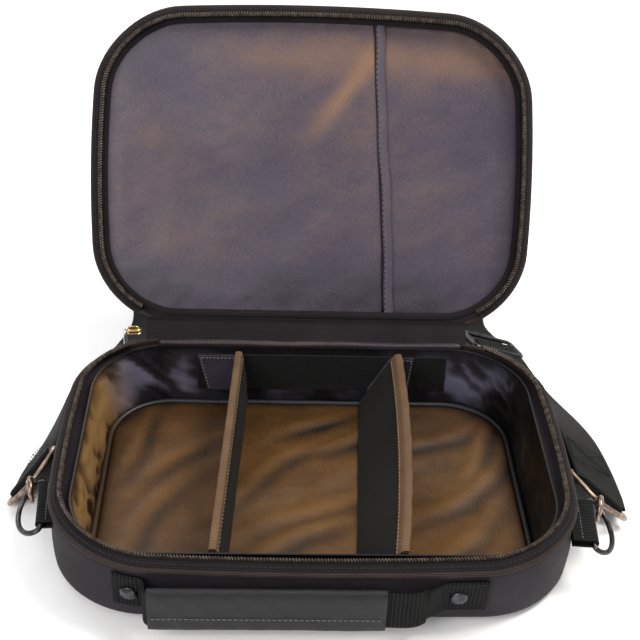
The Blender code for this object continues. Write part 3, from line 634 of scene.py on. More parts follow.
def pile(name, dark, light):
    """Short fuzzy loops."""
    f = Finish(name, 0.95, Sheen_Weight=0.03, Sheen_Roughness=0.6)
    loops = f.noise(1300, 3, 0.7)
    colour = f.ramp(loops, (0.35, dark), (0.75, light))
    return f.set(colour, None, ((loops, 0.0008, 1.0), (f.noise(260, 2), 0.0008, 0.5)))


def grained(name, dark, light, rough):
    """Leather-like coated cloth with fine grain and soft wear."""
    f = Finish(name, rough, Specular_IOR_Level=0.3)
    cells = node(f.tree, "TexVoronoi", {"Vector": f.place, "Scale": 1500}, feature="DISTANCE_TO_EDGE")
    pores = f.math("MINIMUM", f.mul(cells.outputs[0], 4.0), 1.0)
    worn = f.noise(55, 4)
    colour = f.ramp(f.scaled(worn, 0.8, f.mul(pores, 0.2)), (0.3, dark), (0.8, light))
    roughness = f.scaled(worn, 0.25, rough - 0.12)
    return f.set(colour, roughness, ((pores, 0.00012, 0.6), (f.noise(120, 3), 0.0005, 0.35)))


def metal(name, dark, light, rough):
    """Plated metal with faint scratches and uneven tarnish."""
    f = Finish(name, rough, 1.0)
    cloudy = f.noise(160, 4, 0.6)
    colour = f.ramp(cloudy, (0.35, dark), (0.68, light))
    scratch = f.noise(900, 2, 0.5, ((0.3, 0.2, 0.5), (0.1, 1.0, 1.0)))
    roughness = f.scaled(scratch, 0.28, rough - 0.10)
    return f.set(colour, roughness, ((scratch, 0.00004, 0.5), (cloudy, 0.00008, 0.4)))


def plastic(name, dark, light, rough):
    f = Finish(name, rough)
    cloudy = f.noise(300, 3)
    colour = f.ramp(cloudy, (0.35, dark), (0.7, light))
    return f.set(colour, f.scaled(cloudy, 0.2, rough - 0.1), ((cloudy, 0.00006, 0.4),))


def thread(name, dark, light):
    f = Finish(name, 0.6, Sheen_Weight=0.05)
    twist = f.noise(2500, 2, 0.5, ((0.0, 0.0, 0.7), (1.0, 0.3, 1.0)))
    return f.set(f.ramp(twist, (0.3, dark), (0.7, light)), None, ((twist, 0.0001, 0.6),))


NYLON = woven("nylon_cloth", (0.010, 0.0075, 0.0095), (0.027, 0.020, 0.026), 0.75)
TAPE = ribbed(
    "zipper_tape_cloth", (0.004, 0.0035, 0.004), (0.022, 0.018, 0.020), 0.0011, 0.0009, along_u=True
)
WELT = ribbed(
    "piping_cloth", (0.009, 0.006, 0.006), (0.048, 0.034, 0.030), 0.0009, 0.0007, 0.55, along_u=True
)
COIL = plastic("coil_nylon", (0.035, 0.026, 0.020), (0.120, 0.092, 0.070), 0.28)
BRONZE = satin(
    "bronze_lining", (0.005, 0.0035, 0.0025), (0.058, 0.026, 0.0065), (0.150, 0.072, 0.018), 0.46, 0.75
)
WALL_SATIN = wall_satin()
# Its bright bronze stop is the colour of the painted sheen and glint on the lid lining.
LID_SATIN = satin(
    "lid_lining_satin", (0.016, 0.013, 0.018), (0.056, 0.046, 0.066), (0.18, 0.105, 0.065), 0.44, -0.6,
    0.04, (0.95, 0.80, 0.75, 1), 7.0,
)
ROLL_SATIN = satin(
    "rolled_edge_satin", (0.008, 0.006, 0.008), (0.026, 0.020, 0.025), (0.13, 0.07, 0.045), 0.38, 0.3
)
LOOP_PILE = pile("loop_pile", (0.0012, 0.0012, 0.0012), (0.0085, 0.008, 0.008))
PADDING = woven("divider_cloth", (0.0025, 0.0022, 0.002), (0.0085, 0.0080, 0.0065), 0.7)
TAB_SATIN = satin(
    "tab_satin", (0.006, 0.0055, 0.008), (0.018, 0.0165, 0.024), (0.060, 0.055, 0.075), 0.40, 0.2,
    0.05, (0.8, 0.8, 1, 1),
)
BINDING = ribbed("binding_tape", (0.045, 0.026, 0.018), (0.19, 0.115, 0.062), 0.0011, 0.0008, 0.55, 0.0002)
WEBBING = ribbed("webbing_black", (0.001, 0.001, 0.001), (0.016, 0.016, 0.016), 0.0021, 0.0012, 0.72, 0.00045)
STRAP_WEB = ribbed(
    "webbing_strap", (0.0006, 0.0006, 0.0006), (0.0050, 0.0048, 0.0044), 0.0017, 0.0011, 0.60, 0.0004
)
LEATHER = grained("sleeve_leatherette", (0.0025, 0.0025, 0.003), (0.0085, 0.0083, 0.0095), 0.42)
GUNMETAL = metal("gunmetal", (0.030, 0.029, 0.031), (0.110, 0.105, 0.105), 0.30)
HOOKMETAL = metal("aged_hook_metal", (0.12, 0.085, 0.065), (0.46, 0.35, 0.27), 0.28)
STEEL = metal("bright_steel", (0.40, 0.40, 0.41), (0.72, 0.72, 0.74), 0.24)
BRASS = metal("brass", (0.30, 0.19, 0.07), (0.75, 0.54, 0.25), 0.24)
RIVET = metal("dark_rivet", (0.030, 0.029, 0.033), (0.090, 0.088, 0.095), 0.32)
BOARD = plastic("stiffener_board", (0.26, 0.23, 0.19), (0.40, 0.37, 0.32), 0.85)
PALE_THREAD = thread("pale_thread", (0.09, 0.075, 0.07), (0.24, 0.21, 0.20))
DARK_THREAD = thread("dark_thread", (0.006, 0.005, 0.006), (0.028, 0.024, 0.026))
TAN_THREAD = thread("tan_thread", (0.13, 0.085, 0.05), (0.32, 0.23, 0.14))


# ---------------------------------------------------------------- rings, hooks and shoulder strap
def side_frame(side):
    sign, y, turn = SIDES[side][:3]
    out = np.array([sign * math.cos(turn), -math.sin(turn), 0])
    back = np.array([sign * math.sin(turn), math.cos(turn), 0])
    origin = np.array([sign * TAB_ROOT_X, y, TAB_Z])
    return origin, out, back


def in_side(side, points):
    """Points given as (out, back, up) from the root of a side's tab."""
    origin, out, back = side_frame(side)
    points = np.asarray(points, float)
    return origin + points[..., :1] * out + points[..., 1:2] * back + points[..., 2:] * UP


def on_ring(side, points):
    """Points given as (out, back) in the plane of a ring that sags about its bar."""
    bar = SIDES[side][3]
    points = np.asarray(points, float)
    reach = points[..., 0] - bar
    place = [bar + reach * math.cos(RING_DROOP), points[..., 1], -reach * math.sin(RING_DROOP)]
    return in_side(side, np.stack(place, -1))


def hook_line(side):
    """The swivel's centre, and the direction from the ring towards the strap."""
    sign, _, _, bar, depth, lean, _ = SIDES[side]
    out = bar + RING_CORNER + (depth - RING_CORNER) * math.sin(RING_PULL)
    grab = on_ring(side, (out, RING_HALF * math.cos(RING_PULL)))
    share = math.cos(HOOK_DROP)
    toward = np.array([sign * math.sin(lean) * share, math.cos(lean) * share, -math.sin(HOOK_DROP)])
    return grab + toward * HOOK_REACH, toward


def loop_across(side):
    """The way along the straight bar of a side's strap loop."""
    toward = hook_line(side)[1]
    flat = unit(np.cross(toward, UP))
    sign, tilt = SIDES[side][0], SIDES[side][6]
    return np.cross(flat, toward) * math.sin(tilt) - flat * (sign * math.cos(tilt))


def strap_frames():
    """Centre, direction, width direction and face normal at each point of the strap."""
    route = []
    for side in ("left", "right"):
        place, toward = hook_line(side)
        route.append((*(place + toward * STRAP_START), math.degrees(SIDES[side][6])))
    points = curve([route[0], *STRAP_ROUTE, route[1]], STRAP_STEPS)
    centre = points[:, :3]
    along = np.gradient(centre, axis=0)
    along[0], along[-1] = hook_line("left")[1], -hook_line("right")[1]
    along = unit(along)
    out = unit(np.cross(along, UP))
    tilt = np.radians(points[:, 3])[:, None]
    across = out * np.cos(tilt) + UP * np.sin(tilt)
    across = unit(across - along * (across * along).sum(1)[:, None])
    for side, end in (("left", centre[0]), ("right", centre[-1])):
        near = 1 - smooth(0, STRAP_EASE, np.linalg.norm(centre - end, axis=1))[:, None]
        across = lerp(across, loop_across(side), near)
    across = unit(across - along * (across * along).sum(1)[:, None])
    return centre, along, across, np.cross(across, along)


def ribbon_section(width, thick, columns=12):
    """(across, up) points of flat webbing with rounded selvedges."""
    half, rise = width / 2, thick / 2
    xs = np.linspace(-half + rise, half - rise, columns)
    top = np.column_stack([xs, np.full(columns, rise)])
    right = np.array([[half - rise * 0.35, rise * 0.75], [half, 0.0], [half - rise * 0.35, -rise * 0.75]])
    one_side = np.concatenate([top, right])
    return np.concatenate([one_side, one_side * -1])


def ribbon_rows(centre, across, normal, lift):
    section = ribbon_section(STRAP_WIDTH, STRAP_THICK)
    lift = np.broadcast_to(np.asarray(lift, float), (len(centre),))
    height = section[None, :, 1] + lift[:, None]
    return centre[:, None] + section[None, :, :1] * across[:, None] + height[..., None] * normal[:, None]


def stitch_box(shells, centre, along, across, lift):
    """A stitched box with a cross in it, square to the webbing."""
    length, width = 0.020, 0.030
    normal = np.cross(across, along)
    middle = centre + normal * lift
    signs = ((-1, -1), (1, -1), (1, 1), (-1, 1))
    corners = [middle + along * a * length / 2 + across * b * width / 2 for a, b in signs]
    for first, second in ((0, 1), (1, 2), (2, 3), (3, 0), (0, 2), (1, 3)):
        stitches(shells, [corners[first], corners[second]], normal, 0.0028)


def make_strap():
    """The webbing, its doubled end, the folds round both loops, the sewn boxes and the slide."""
    centre, along, across, normal = strap_frames()
    rows = ribbon_rows(centre, across, normal, 0.0)
    nodes = ("shoulder_strap",)
    strap = piece("shoulder_strap_webbing", solid(rows), STRAP_WEB, "base", nodes)
    slide_at = ADJUSTER_AT * STRAP_STEPS
    tail = slide_at - 2
    doubled_lift = STRAP_THICK + 2 * GAP
    lift = doubled_lift + 0.0016 * np.exp(-np.arange(len(centre) - tail) / 5.0)
    rows = ribbon_rows(centre[tail:], across[tail:], normal[tail:], lift)
    nodes = ("strap_doubled_end",)
    doubled = piece("strap_doubled_webbing", solid(rows), STRAP_WEB, "base", nodes)
    sewn, folds = Shells(), Shells()
    for side, at, index in (("left", 0, 14), ("right", -1, len(centre) - 15)):
        place, toward = hook_line(side)
        face = STRAP_THICK / 2
        extra = 0.0 if side == "left" else doubled_lift
        stitch_box(sewn, centre[index], along[index], across[index], face + extra + 0.0002)
        stitch_box(sewn, centre[index], along[index], -across[index], face + 0.0002)
        # The webbing turned round the bar of its loop.
        bar = place + toward * LOOP_BAR
        end = centre[at]
        way = unit(bar - end)
        top = face + extra
        radius = max((top + face) / 2, HOOK_WIRE + 0.0010)
        section = ribbon_section(0.034, 0.0018)
        wide, thick = section[:, :1] * across[at], section[:, 1:]
        back_top = end - way * 0.004 + normal[at] * (top - 0.0009 if side == "right" else top + 0.0011)
        back_low = end - way * 0.004 - normal[at] * (face + 0.0011)
        rings = [back_low + wide - thick * normal[at]]
        for angle in np.radians(np.linspace(-90, 90, 13)):
            turned = way * math.cos(angle) + normal[at] * math.sin(angle)
            rings.append(bar + turned * radius + wide + thick * turned)
        rings.append(back_top + wide + thick * normal[at])
        folds.rows(rings, wrap=True, caps=True)
    fold = piece("strap_end_folds", folds, STRAP_WEB, "base")
    seams = piece("strap_stitching", sewn, DARK_THREAD, "base")
    slide = make_adjuster(centre[slide_at], along[slide_at], across[slide_at], normal[slide_at])
    length = float(np.linalg.norm(np.diff(centre, axis=0), axis=1).sum())
    return strap, centre, length, [doubled, fold, seams, slide]


def make_adjuster(centre, along, across, normal):
    """Three-bar slide: a rounded frame with a thicker middle bar."""
    origin = centre + normal * (STRAP_THICK / 2 + 2 * GAP + 0.0015) - along * 0.004
    half_wide, half_long, corner = 0.0215, 0.0095, 0.003
    points = []
    for index, (sx, sy) in enumerate(SQUARE):
        for angle in np.radians(90 * (index + np.arange(6) / 5)):
            x = sx * (half_wide - corner) + corner * math.cos(angle)
            y = sy * (half_long - corner) + corner * math.sin(angle)
            points.append(origin + across * x + along * y)
    shells = Shells()
    tube(shells, resample(points, 0.0012, True), 0.0014, 10, True, normal)
    bar = [origin + across * x for x in np.linspace(-half_wide, half_wide, 12)]
    tube(shells, bar, 0.00145, 10, False, normal)
    return piece("strap_adjuster", shells, GUNMETAL, "base", ("strap_slide",))


def turned_rows(origin, axis, first, second, profile, sides):
    """Rings of a turned part, from (distance along the axis, radius) pairs."""
    angle = TAU * np.arange(sides) / sides
    circle = np.cos(angle)[:, None] * first + np.sin(angle)[:, None] * second
    return [origin + axis * height + radius * circle for height, radius in profile]


def make_hook_set(side):
    """D-ring, snap hook with its gate, and the wire loop that holds the strap."""
    bar, depth = SIDES[side][3:5]
    path = [(bar, lerp(-1, 1, step / 10) * (RING_HALF - RING_CORNER)) for step in range(11)]
    corner = []
    for angle in np.radians(np.linspace(-60, -15, 3)):
        inward = RING_CORNER * (1 - math.cos(angle))
        corner.append((bar + RING_CORNER * (1 + math.sin(angle)), RING_HALF - inward))
    path += corner
    arch = depth - RING_CORNER
    for angle in np.radians(np.linspace(0, 180, 37)):
        path.append((bar + RING_CORNER + arch * math.sin(angle), RING_HALF * math.cos(angle)))
    path += [(x, -y) for x, y in corner[::-1]]
    ring = on_ring(side, path)
    square = np.cross(ring[0] - ring[len(ring) // 2], ring[10] - ring[0])
    shells = Shells()
    tube(shells, resample(ring, 0.0009, True), RING_WIRE, 14, True, unit(square))
    piece("ring_" + side, shells, GUNMETAL, "d_ring_" + side, ("d_ring_" + side,))

    place, toward = hook_line(side)
    flat = unit(np.cross(toward, UP))
    up = np.cross(flat, toward)
    spine = [(0.0042, 0.0), (0.0056, 0.0004), (0.0068, 0.0016), (0.0084, 0.0040), (0.0108, 0.0058)]
    for angle in np.radians(np.linspace(0, 180, 19)):
        spine.append((0.0140 + 0.0064 * math.sin(angle), 0.0064 * math.cos(angle)))
    spine = curve(spine, 3)
    radii = np.interp(spine[:, 0], [0.0042, 0.0070, 0.0110], [0.0028, 0.0021, HOOK_WIRE])
    radii[-8:] *= np.linspace(1.0, 0.86, 8)
    shells = Shells()
    tube(shells, place - spine[:, :1] * toward + spine[:, 1:] * up, radii, 14, False, flat)
    # Turned barrel with a collar at each end.
    barrel = ((-0.0002, 0.0016), (0.0, 0.0028), (0.0004, 0.0034), (0.0012, 0.0034), (0.0015, 0.0029))
    barrel += ((0.0030, 0.0029), (0.0034, 0.0034), (0.0044, 0.0034), (0.0050, 0.0026), (0.0056, 0.0018))
    shells.rows(turned_rows(place, -toward, flat, up, barrel, 20), wrap=True, caps=True)
    piece("hook_" + side, shells, HOOKMETAL, "snap_hook_" + side, ("snap_hook_body_" + side,))

    root = place - toward * 0.0061 - up * 0.0052
    tip = place - toward * 0.0117 - up * 0.0060
    shells = Shells()
    tube(shells, [lerp(root, tip, t) for t in np.linspace(0, 1, 8)], 0.00105, 12, False, flat)
    knob = lerp(root, tip, 0.30) - up * 0.0010
    tube(shells, [knob - flat * 0.0010, knob, knob + flat * 0.0010], 0.0008, 10, False, up)
    piece("gate_" + side, shells, STEEL, "snap_gate_" + side, ("snap_hook_gate_" + side,))

    across = loop_across(side)
    half = [(0.0019, 0.0030), (0.0030, 0.0066), (0.0070, 0.0128), (0.0110, 0.0186), (0.0130, 0.0206)]
    half += [(0.0149, 0.0206), (LOOP_BAR, 0.0190), (LOOP_BAR, 0.0095)]
    loop = [(0.0019, 0.0)] + half + [(LOOP_BAR, 0.0)] + [(s, -w) for s, w in half[::-1]]
    line = curve(loop + [loop[0]], 6)[:-1]
    points = place + line[:, :1] * toward + line[:, 1:] * across
    shells = Shells()
    tube(shells, resample(points, 0.0009, True), HOOK_WIRE, 12, True, np.cross(across, toward))
    # Neck of the swivel between the barrel and the loop.
    neck = [place + toward * reach for reach in (-0.0006, 0.0008, 0.0022)]
    tube(shells, neck, [0.0016, 0.0018, 0.0022], 14, False, up)
    return piece("loop_" + side, shells, HOOKMETAL, "base", ("strap_loop_" + side,))


loops = [make_hook_set(side) for side in SIDES]
strap, strap_line, strap_length, strap_extras = make_strap()


def make_side_tabs():
    """Webbing folded round the bar of each D-ring, stitched to the wall."""
    inner = RING_WIRE + 0.0002
    outer = inner + 0.0012
    turn = np.radians(np.linspace(-90, 90, 13))
    half = STRAP_WIDTH / 2 - 0.003
    for side, (_, _, _, bar, _, _, _) in SIDES.items():
        profile = [(-0.004, -outer), (0.0, -outer)]
        profile += [(bar + outer * math.cos(a), outer * math.sin(a)) for a in turn]
        profile += [(0.0, outer), (-0.004, outer), (-0.004, inner), (0.0, inner)]
        profile += [(bar + inner * math.cos(a), inner * math.sin(a)) for a in turn[::-1]]
        profile += [(0.0, -inner), (-0.004, -inner)]
        rows = [in_side(side, [(x, y, z) for x, z in profile]) for y in np.linspace(-half, half, 20)]
        tab = piece("ring_tab_" + side, solid(rows), WEBBING, "base", ("side_tab_" + side,))
        tab.data.set_sharp_from_angle(angle=math.radians(60))
        ys = np.linspace(-half + 0.001, half - 0.001, 20)
        line = in_side(side, [(0.0012, y, outer + 0.0001) for y in ys])
        sewn("ring_tab_stitches_" + side, PALE_THREAD, "black_webbing", "base", (line, (0, 0, 1), 0.0026))


make_side_tabs()


# ---------------------------------------------------------------- base: walls, lining, floor
def wall_puff(points, z):
    """How far the padded wall stands out at a height, with soft uneven swelling."""
    share = np.clip((z - 0.004) / (0.042 - 0.004), 0, 1)
    swell = math.sin(math.pi * share) ** 0.7 * 0.0014
    uneven = ripple(level(points, z), 26.0, 3.0) * 0.0005 + ripple(level(points, z), 80.0, 5.0) * 0.00018
    return swell + uneven * math.sin(math.pi * share) ** 0.5


def make_base_shell():
    foot = ((0.0, 0.060), (0.0, 0.030), (0.0, 0.012), (0.0, 0.0085), (0.0004, 0.0060), (0.0014, 0.0034))
    rows = [level(base_outline(z, inset), z) for z, inset in (*foot, (0.0030, 0.0014))]
    for z in np.linspace(0.0050, 0.0405, 16):
        points = base_outline(z)
        rows.append(push(level(points, z), wall_puff(points, z)))
    rows += [level(base_outline(WALL_TOP, inset), z) for inset, z in ((0.0004, 0.0416), (0.0016, 0.0424))]
    rows.append(level(room_outline(WALL_TOP), 0.0422))
    rows += [level(room_outline(z), z) for z in (0.024, ROOM_LOW_Z)]
    case = piece("base_case", solid(rows), NYLON, "base", ("base_shell",))


def make_rim(body, outline_at):
    """Piping, ribbed zipper tape, coil and their stitches, for the base or turned over for the lid."""
    flip = body == "lid"
    up = -UP if flip else UP
    name = body + "_rim"

    def lay(points, z):
        return level(points, 2 * CLOSE_Z - z if flip else z)

    def put(points):
        return opened(points) if flip else points

    rows = tube_rows(lay(outline_at(-0.0005), SEAM_Z), 0.00165, 14, True)
    shells = hoop(put(rows))
    # The piping's sewn flange closes the seam between the wall and the tape.
    flange = ((0.0008, 0.0422), (0.0008, 0.0450), (0.0018, 0.0454), (0.0018, 0.0422))
    rows = np.stack([lay(outline_at(inset), z) for inset, z in flange], 1)
    shells.rows(put(rows), wrap=True, ring=True)
    piece(name + "_piping", shells, WELT, body, (body + "_piping",))

    section = ((-0.0006, 0.0452), (0.0004, 0.0466), (0.0016, 0.0474), (0.0030, 0.0482), (0.0043, 0.0488))
    section += ((0.0050, 0.0490), (0.0052, 0.0484), (0.0043, 0.0478), (0.0024, 0.0468))
    section += ((0.0010, 0.0458), (0.0004, 0.0448))
    rows = np.stack([lay(open_run(outline_at(inset)), z) for inset, z in section], 1)
    piece(name + "_tape", solid(put(rows)), TAPE, body, ("zipper_tape_" + body,))

    turn_steps = 8
    line = resample(lay(open_run(outline_at(COIL_INSET)), CLOSE_Z - 0.00115), COIL_PITCH / turn_steps)
    tangent = unit(np.gradient(line, axis=0))
    inward = unit(np.cross((0, 0, 1), tangent))
    phase = (TAU * np.arange(len(line)) / turn_steps)[:, None]
    lean = unit(inward * -0.82 + up * 0.57)
    rise = np.cross(tangent, lean)
    coil = line + 0.0012 * np.cos(phase) * lean + 0.00062 * np.sin(phase) * rise
    rows = tube_rows(coil, 0.00040, 5, False, (0.31, 0.17, 0.93))
    piece(name + "_coil", solid(put(rows)), COIL, body, ("zipper_coil_" + body,))

    line = resample(lay(open_run(outline_at(0.0012)), 0.0474), 0.002)
    run = (put(line), unit(put(line + up) - put(line)), 0.0031)
    sewn(name + "_tape_stitches", DARK_THREAD, "zipper_tape", body, run)


def wall_folds(points, z):
    """Inward creases of the wall lining: soft, mostly upright and leaning."""
    angle = np.arctan2(points[:, 1], points[:, 0])
    soft = ripple(level(points, z * 0.45), 34.0, 11.0)
    lean = ripple(level(points + np.array([0.6, 0.3]) * z * 1.4, 0.0), 75.0, 17.0)
    left = 1 + 1.2 * smooth(-0.095, -0.12, points[:, 0])
    return left * (0.0009 * soft + 0.0008 * (1 - np.abs(lean) * 2.4).clip(0, 1)) + 0.0002 * np.sin(angle * 9)


def make_lining():
    high, straight_z = 0.0462, 0.0445
    rows, tones_and_painted_light = [], []
    for z in np.linspace(LINING_LOW_Z, high, 18):
        points = room_outline(min(z, straight_z), GAP + LINING)
        hold = math.sin(math.pi * np.clip((z - LINING_LOW_Z) / (high - LINING_LOW_Z), 0, 1)) ** 0.6
        folds = wall_folds(points, z) * hold
        rows.append(push(level(points, z), -np.maximum(folds, -0.0002)))
        # Painted light: the wall lining is painted lighter on the ridges of its folds and darker in the
        # hollows between them.
        tones_and_painted_light.append(np.clip(folds / 0.0016 - 0.1, -0.5, 0.8))
    rows += [level(room_outline(min(z, straight_z), GAP), z) for z in (high, 0.024, LINING_LOW_Z - 0.0008)]
    shells = hoop(rows, np.array(tones_and_painted_light + [tones_and_painted_light[-1]] * 3))
    piece("base_wall_lining", shells, WALL_SATIN, "base", ("base_lining",))


# Each fold of the floor: its middle, turn in degrees, length and width.
FLOOR_FOLDS = (
    (-0.098, -0.030, 62, 0.050, 0.0060), (-0.078, 0.030, 50, 0.040, 0.0050),
    (-0.108, 0.045, 70, 0.030, 0.0040), (-0.014, -0.045, 38, 0.045, 0.0055),
    (0.012, -0.010, 30, 0.060, 0.0065), (-0.020, 0.022, 42, 0.050, 0.0050),
    (0.022, 0.050, 28, 0.040, 0.0050), (0.000, 0.062, 35, 0.030, 0.0040),
    (0.075, -0.050, 48, 0.050, 0.0060), (0.090, 0.000, 40, 0.055, 0.0055),
    (0.070, 0.045, 30, 0.045, 0.0050), (0.105, 0.040, 60, 0.040, 0.0040),
)


def floor_folds(x, y):
    """Height of the floor cloth's diagonal folds, from 0 to 1."""
    height = np.zeros_like(x)
    for cx, cy, turn, length, width in FLOOR_FOLDS:
        c, s = math.cos(math.radians(turn)), math.sin(math.radians(turn))
        along, off = (x - cx) * c + (y - cy) * s, -(x - cx) * s + (y - cy) * c
        off = off + 0.004 * np.sin(along * 60 + cx * 90)
        height = np.maximum(height, np.exp(-((along / length) ** 2)) * np.exp(-((off / width) ** 2)))
    return height


def sheet_shares(edge_steps, inner_steps):
    """Shrinking shares of an outline: close together by the edge, down to almost nothing in the middle."""
    return np.concatenate([np.linspace(1, *edge_steps), np.linspace(*inner_steps), [0.0005]])


def make_floor():
    """Padded floor with diagonal folds painted with light and shade, and the cord round its edge."""
    edge = room_outline(FLOOR_TOP, 0.0045)
    rows, tones_and_painted_light = [], []
    for share in sheet_shares((0.9, 6), (0.87, 0.02, 34)):
        points = edge * share
        x, y = points[:, 0], points[:, 1]
        folds = floor_folds(x, y)
        fine = ripple(level(points, 0.0), 55.0, 2.0) * 0.5 + 0.5
        border = smooth(0.0, 0.035, 1 - share)
        z = 0.0074 + (0.0011 * folds + 0.0005 * fine) * border - 0.0012 * (1 - smooth(0.0, 0.02, 1 - share))
        rows.append(level(points, np.minimum(z, FLOOR_TOP)))
        # Painted light in the tone: painted highlights on the fold crests and the fine bumps, painted shadows
        # just beside the folds, and painted shade towards the back and near the walls.
        shade = floor_folds(x - 0.007, y + 0.006)
        back = smooth(0.0, 0.085, y)
        rim = smooth(0.10, 0.0, 1 - share)
        tone = 0.14 + 0.16 * folds - 0.42 * shade * (1 - folds)
        tones_and_painted_light.append(tone - 0.24 * back - 0.30 * rim + (fine - 0.5) * 0.2)
    rows += [level(edge * share, LINING_LOW_Z + 0.0013) for share in (0.0005, 1.0)]
    shells = Shells().rows(rows, wrap=True, tone_and_painted_light=np.array(tones_and_painted_light + [tones_and_painted_light[-1], tones_and_painted_light[0]]))
    pad = piece("floor_pad", shells, BRONZE, "base", ("floor_board",))
    close_holes(pad)
    path = level(room_outline(FLOOR_TOP, 0.0036), 0.0072)
    path[:, 2] += 0.0002 * ripple(path, 60.0, 9.0)
    radius = 0.0019 + 0.00015 * ripple(path, 120.0, 4.0)
    cord = hoop(tube_rows(path, radius, 12, True), 0.1)
    piece("floor_edge_piping", cord, WALL_SATIN, "base", ("floor_edge_cord",))


make_base_shell()
make_rim("base", rim_outline)
make_lining()
make_floor()


def make_loop_strips():
    depth = GAP + LINING + GAP
    for name, side in (("back", 1), ("front", -1)):
        x, z = np.meshgrid(np.linspace(-0.072, 0.088, 120), np.linspace(TAB_LOW_Z, TAB_HIGH_Z, 22))
        grid = np.stack([x, side * (room_depth(z) - depth - LOOP_STRIP), z], -1)
        grid[..., 1] -= side * (ripple(grid, 420.0, 21.0, 1) * 0.00028)
        back = np.stack([x, side * (room_depth(z) - depth), z], -1)
        shells = Shells().rows(np.concatenate([grid, back[::-1]]), ring=True)
        strip = piece("loop_pile_" + name, shells, LOOP_PILE, "base", ("loop_strip_" + name,))
        close_holes(strip)


make_loop_strips()


# ---------------------------------------------------------------- dividers
def divider_x(name, along, z):
    """The middle of a divider's thickness, from its front end (-1) to its back end (1)."""
    x, _, askew, lean, bow, _, _ = DIVIDERS[name]
    down = (DIVIDER_TOP - z) / (DIVIDER_TOP - FLOOR_TOP)
    return x + askew * along + lean * down + bow * (1 - along**2) * (1 - down)


def make_divider_pad(name, depth_out):
    low_z, top_z = FLOOR_TOP + GAP, DIVIDER_TOP
    count = 60
    along = np.linspace(-1, 1, count)
    rows = []
    for z in np.linspace(low_z, top_z, 20):
        share = (z - low_z) / (top_z - low_z)
        y = along * (room_depth(z) - depth_out)
        x = divider_x(name, along, z)
        zs = np.full(count, z)
        edge = np.minimum(1, (1 - np.abs(along)) * 14) * min(1, share * 9, (1 - share) * 9 + 0.25)
        narrow = 1 - 0.25 * smooth(0.7, 0.93, share)
        bulge = DIVIDER_HALF * (0.80 + 0.20 * np.sqrt(np.clip(edge, 0, 1))) * narrow
        wave = 0.0003 * ripple(np.stack([x, y, zs], 1), 45.0, 7.0)
        near = np.column_stack([x - bulge + wave, y, zs])
        far = np.column_stack([x + bulge + wave, y, zs])
        rows.append(np.concatenate([near, far[::-1]]))
    pad = piece(name + "_pad", solid(rows), PADDING, name, (name + "_panel",))


def make_divider_binding(name, high_y):
    """Binding folded over the top edge, with a stitched line on each face."""
    wide, low_z, seam_z = 0.0023, 0.0400, 0.0412
    hold = wide - 0.0003
    side = [(wide, low_z), (wide + 0.0002, 0.0408), (wide, 0.0425)]
    top = [(wide * math.cos(a), 0.0441 + 0.0012 * math.sin(a)) for a in np.radians(np.linspace(0, 180, 11))]
    inner = [(-hold, low_z), (-hold, 0.0424), (hold, 0.0424), (hold, low_z)]
    section = np.array(side + top + [(-x, z) for x, z in side[::-1]] + inner)
    rows = []
    for share in np.linspace(-1, 1, 90):
        y = share * high_y
        wobble = 0.00015 * math.sin(y * 410) + 0.0001 * math.sin(y * 173 + 1)
        z = section[:, 1] + wobble * (section[:, 1] > 0.043)
        rows.append(np.column_stack([divider_x(name, share, z) + section[:, 0], np.full(len(z), y), z]))
    piece(name + "_edge_binding", solid(rows), BINDING, name, (name + "_binding",))
    runs = []
    for sign in (-1, 1):
        out = sign * (wide + 0.0002)
        line = [(divider_x(name, t, seam_z) + out, t * high_y, seam_z) for t in np.linspace(-0.98, 0.98, 80)]
        runs.append((line, (sign, 0, 0), 0.0030))
    sewn(name + "_binding_stitches", TAN_THREAD, "tan_binding", name, *runs)


def make_divider_tab(name, end, sign, depth):
    """A hook tab that lies on the loop strip, stitched along its free edge and its top."""
    _, side, _, _, _, top_width, low_width = DIVIDERS[name]
    seam_z, seam_inset = 0.0398, 0.0012

    def width_at(z):
        return lerp(low_width, top_width, (z - TAB_LOW_Z) / 0.024)

    def place(z, width):
        x = divider_x(name, sign, z) + side * (DIVIDER_HALF + width)
        return x, sign * (room_depth(z) - depth - 0.0014), z

    grid = []
    for z in np.linspace(TAB_LOW_Z, TAB_HIGH_Z, 12):
        x = divider_x(name, sign, z)
        xs = np.linspace(x - side * DIVIDER_HALF, x + side * (DIVIDER_HALF + width_at(z)), 14)
        wave = 0.00015 * np.sin((xs - x) * 240 + z * 200)
        grid.append(np.column_stack([xs, sign * (room_depth(z) - depth - TAB_CLOTH - wave), np.full(14, z)]))
    grid = np.array(grid)
    back = grid.copy()
    back[..., 1] = sign * (room_depth(grid[..., 2]) - depth)
    tab = Shells().rows(np.concatenate([grid, back[::-1]]), ring=True, tone_and_painted_light=0.1)
    nodes = (name + "_hook_tab_" + end,)
    close_holes(piece(name + "_tab_" + end, tab, TAB_SATIN, name, nodes))
    line = [place(z, width_at(z) - seam_inset) for z in np.linspace(0.0178, seam_z, 12)]
    line += [place(seam_z, (top_width - seam_inset) * (1 - share)) for share in np.linspace(0.06, 1, 12)]
    run = (line, (0, -sign, 0), 0.0024)
    sewn(name + "_tab_stitches_" + end, PALE_THREAD, "black_padding", name, run)


def make_divider(name):
    depth = GAP + LINING + GAP + LOOP_STRIP + GAP
    depth_out = depth + TAB_CLOTH + GAP
    make_divider_pad(name, depth_out)
    make_divider_binding(name, room_depth(DIVIDER_TOP) - depth_out)
    for end, sign in (("back", 1), ("front", -1)):
        make_divider_tab(name, end, sign, depth)


make_divider("divider_left")
make_divider("divider_right")


# ---------------------------------------------------------------- handle
def wall_face(x, z, lift):
    return np.array([x, front_wall_y(x, z) - lift, z])


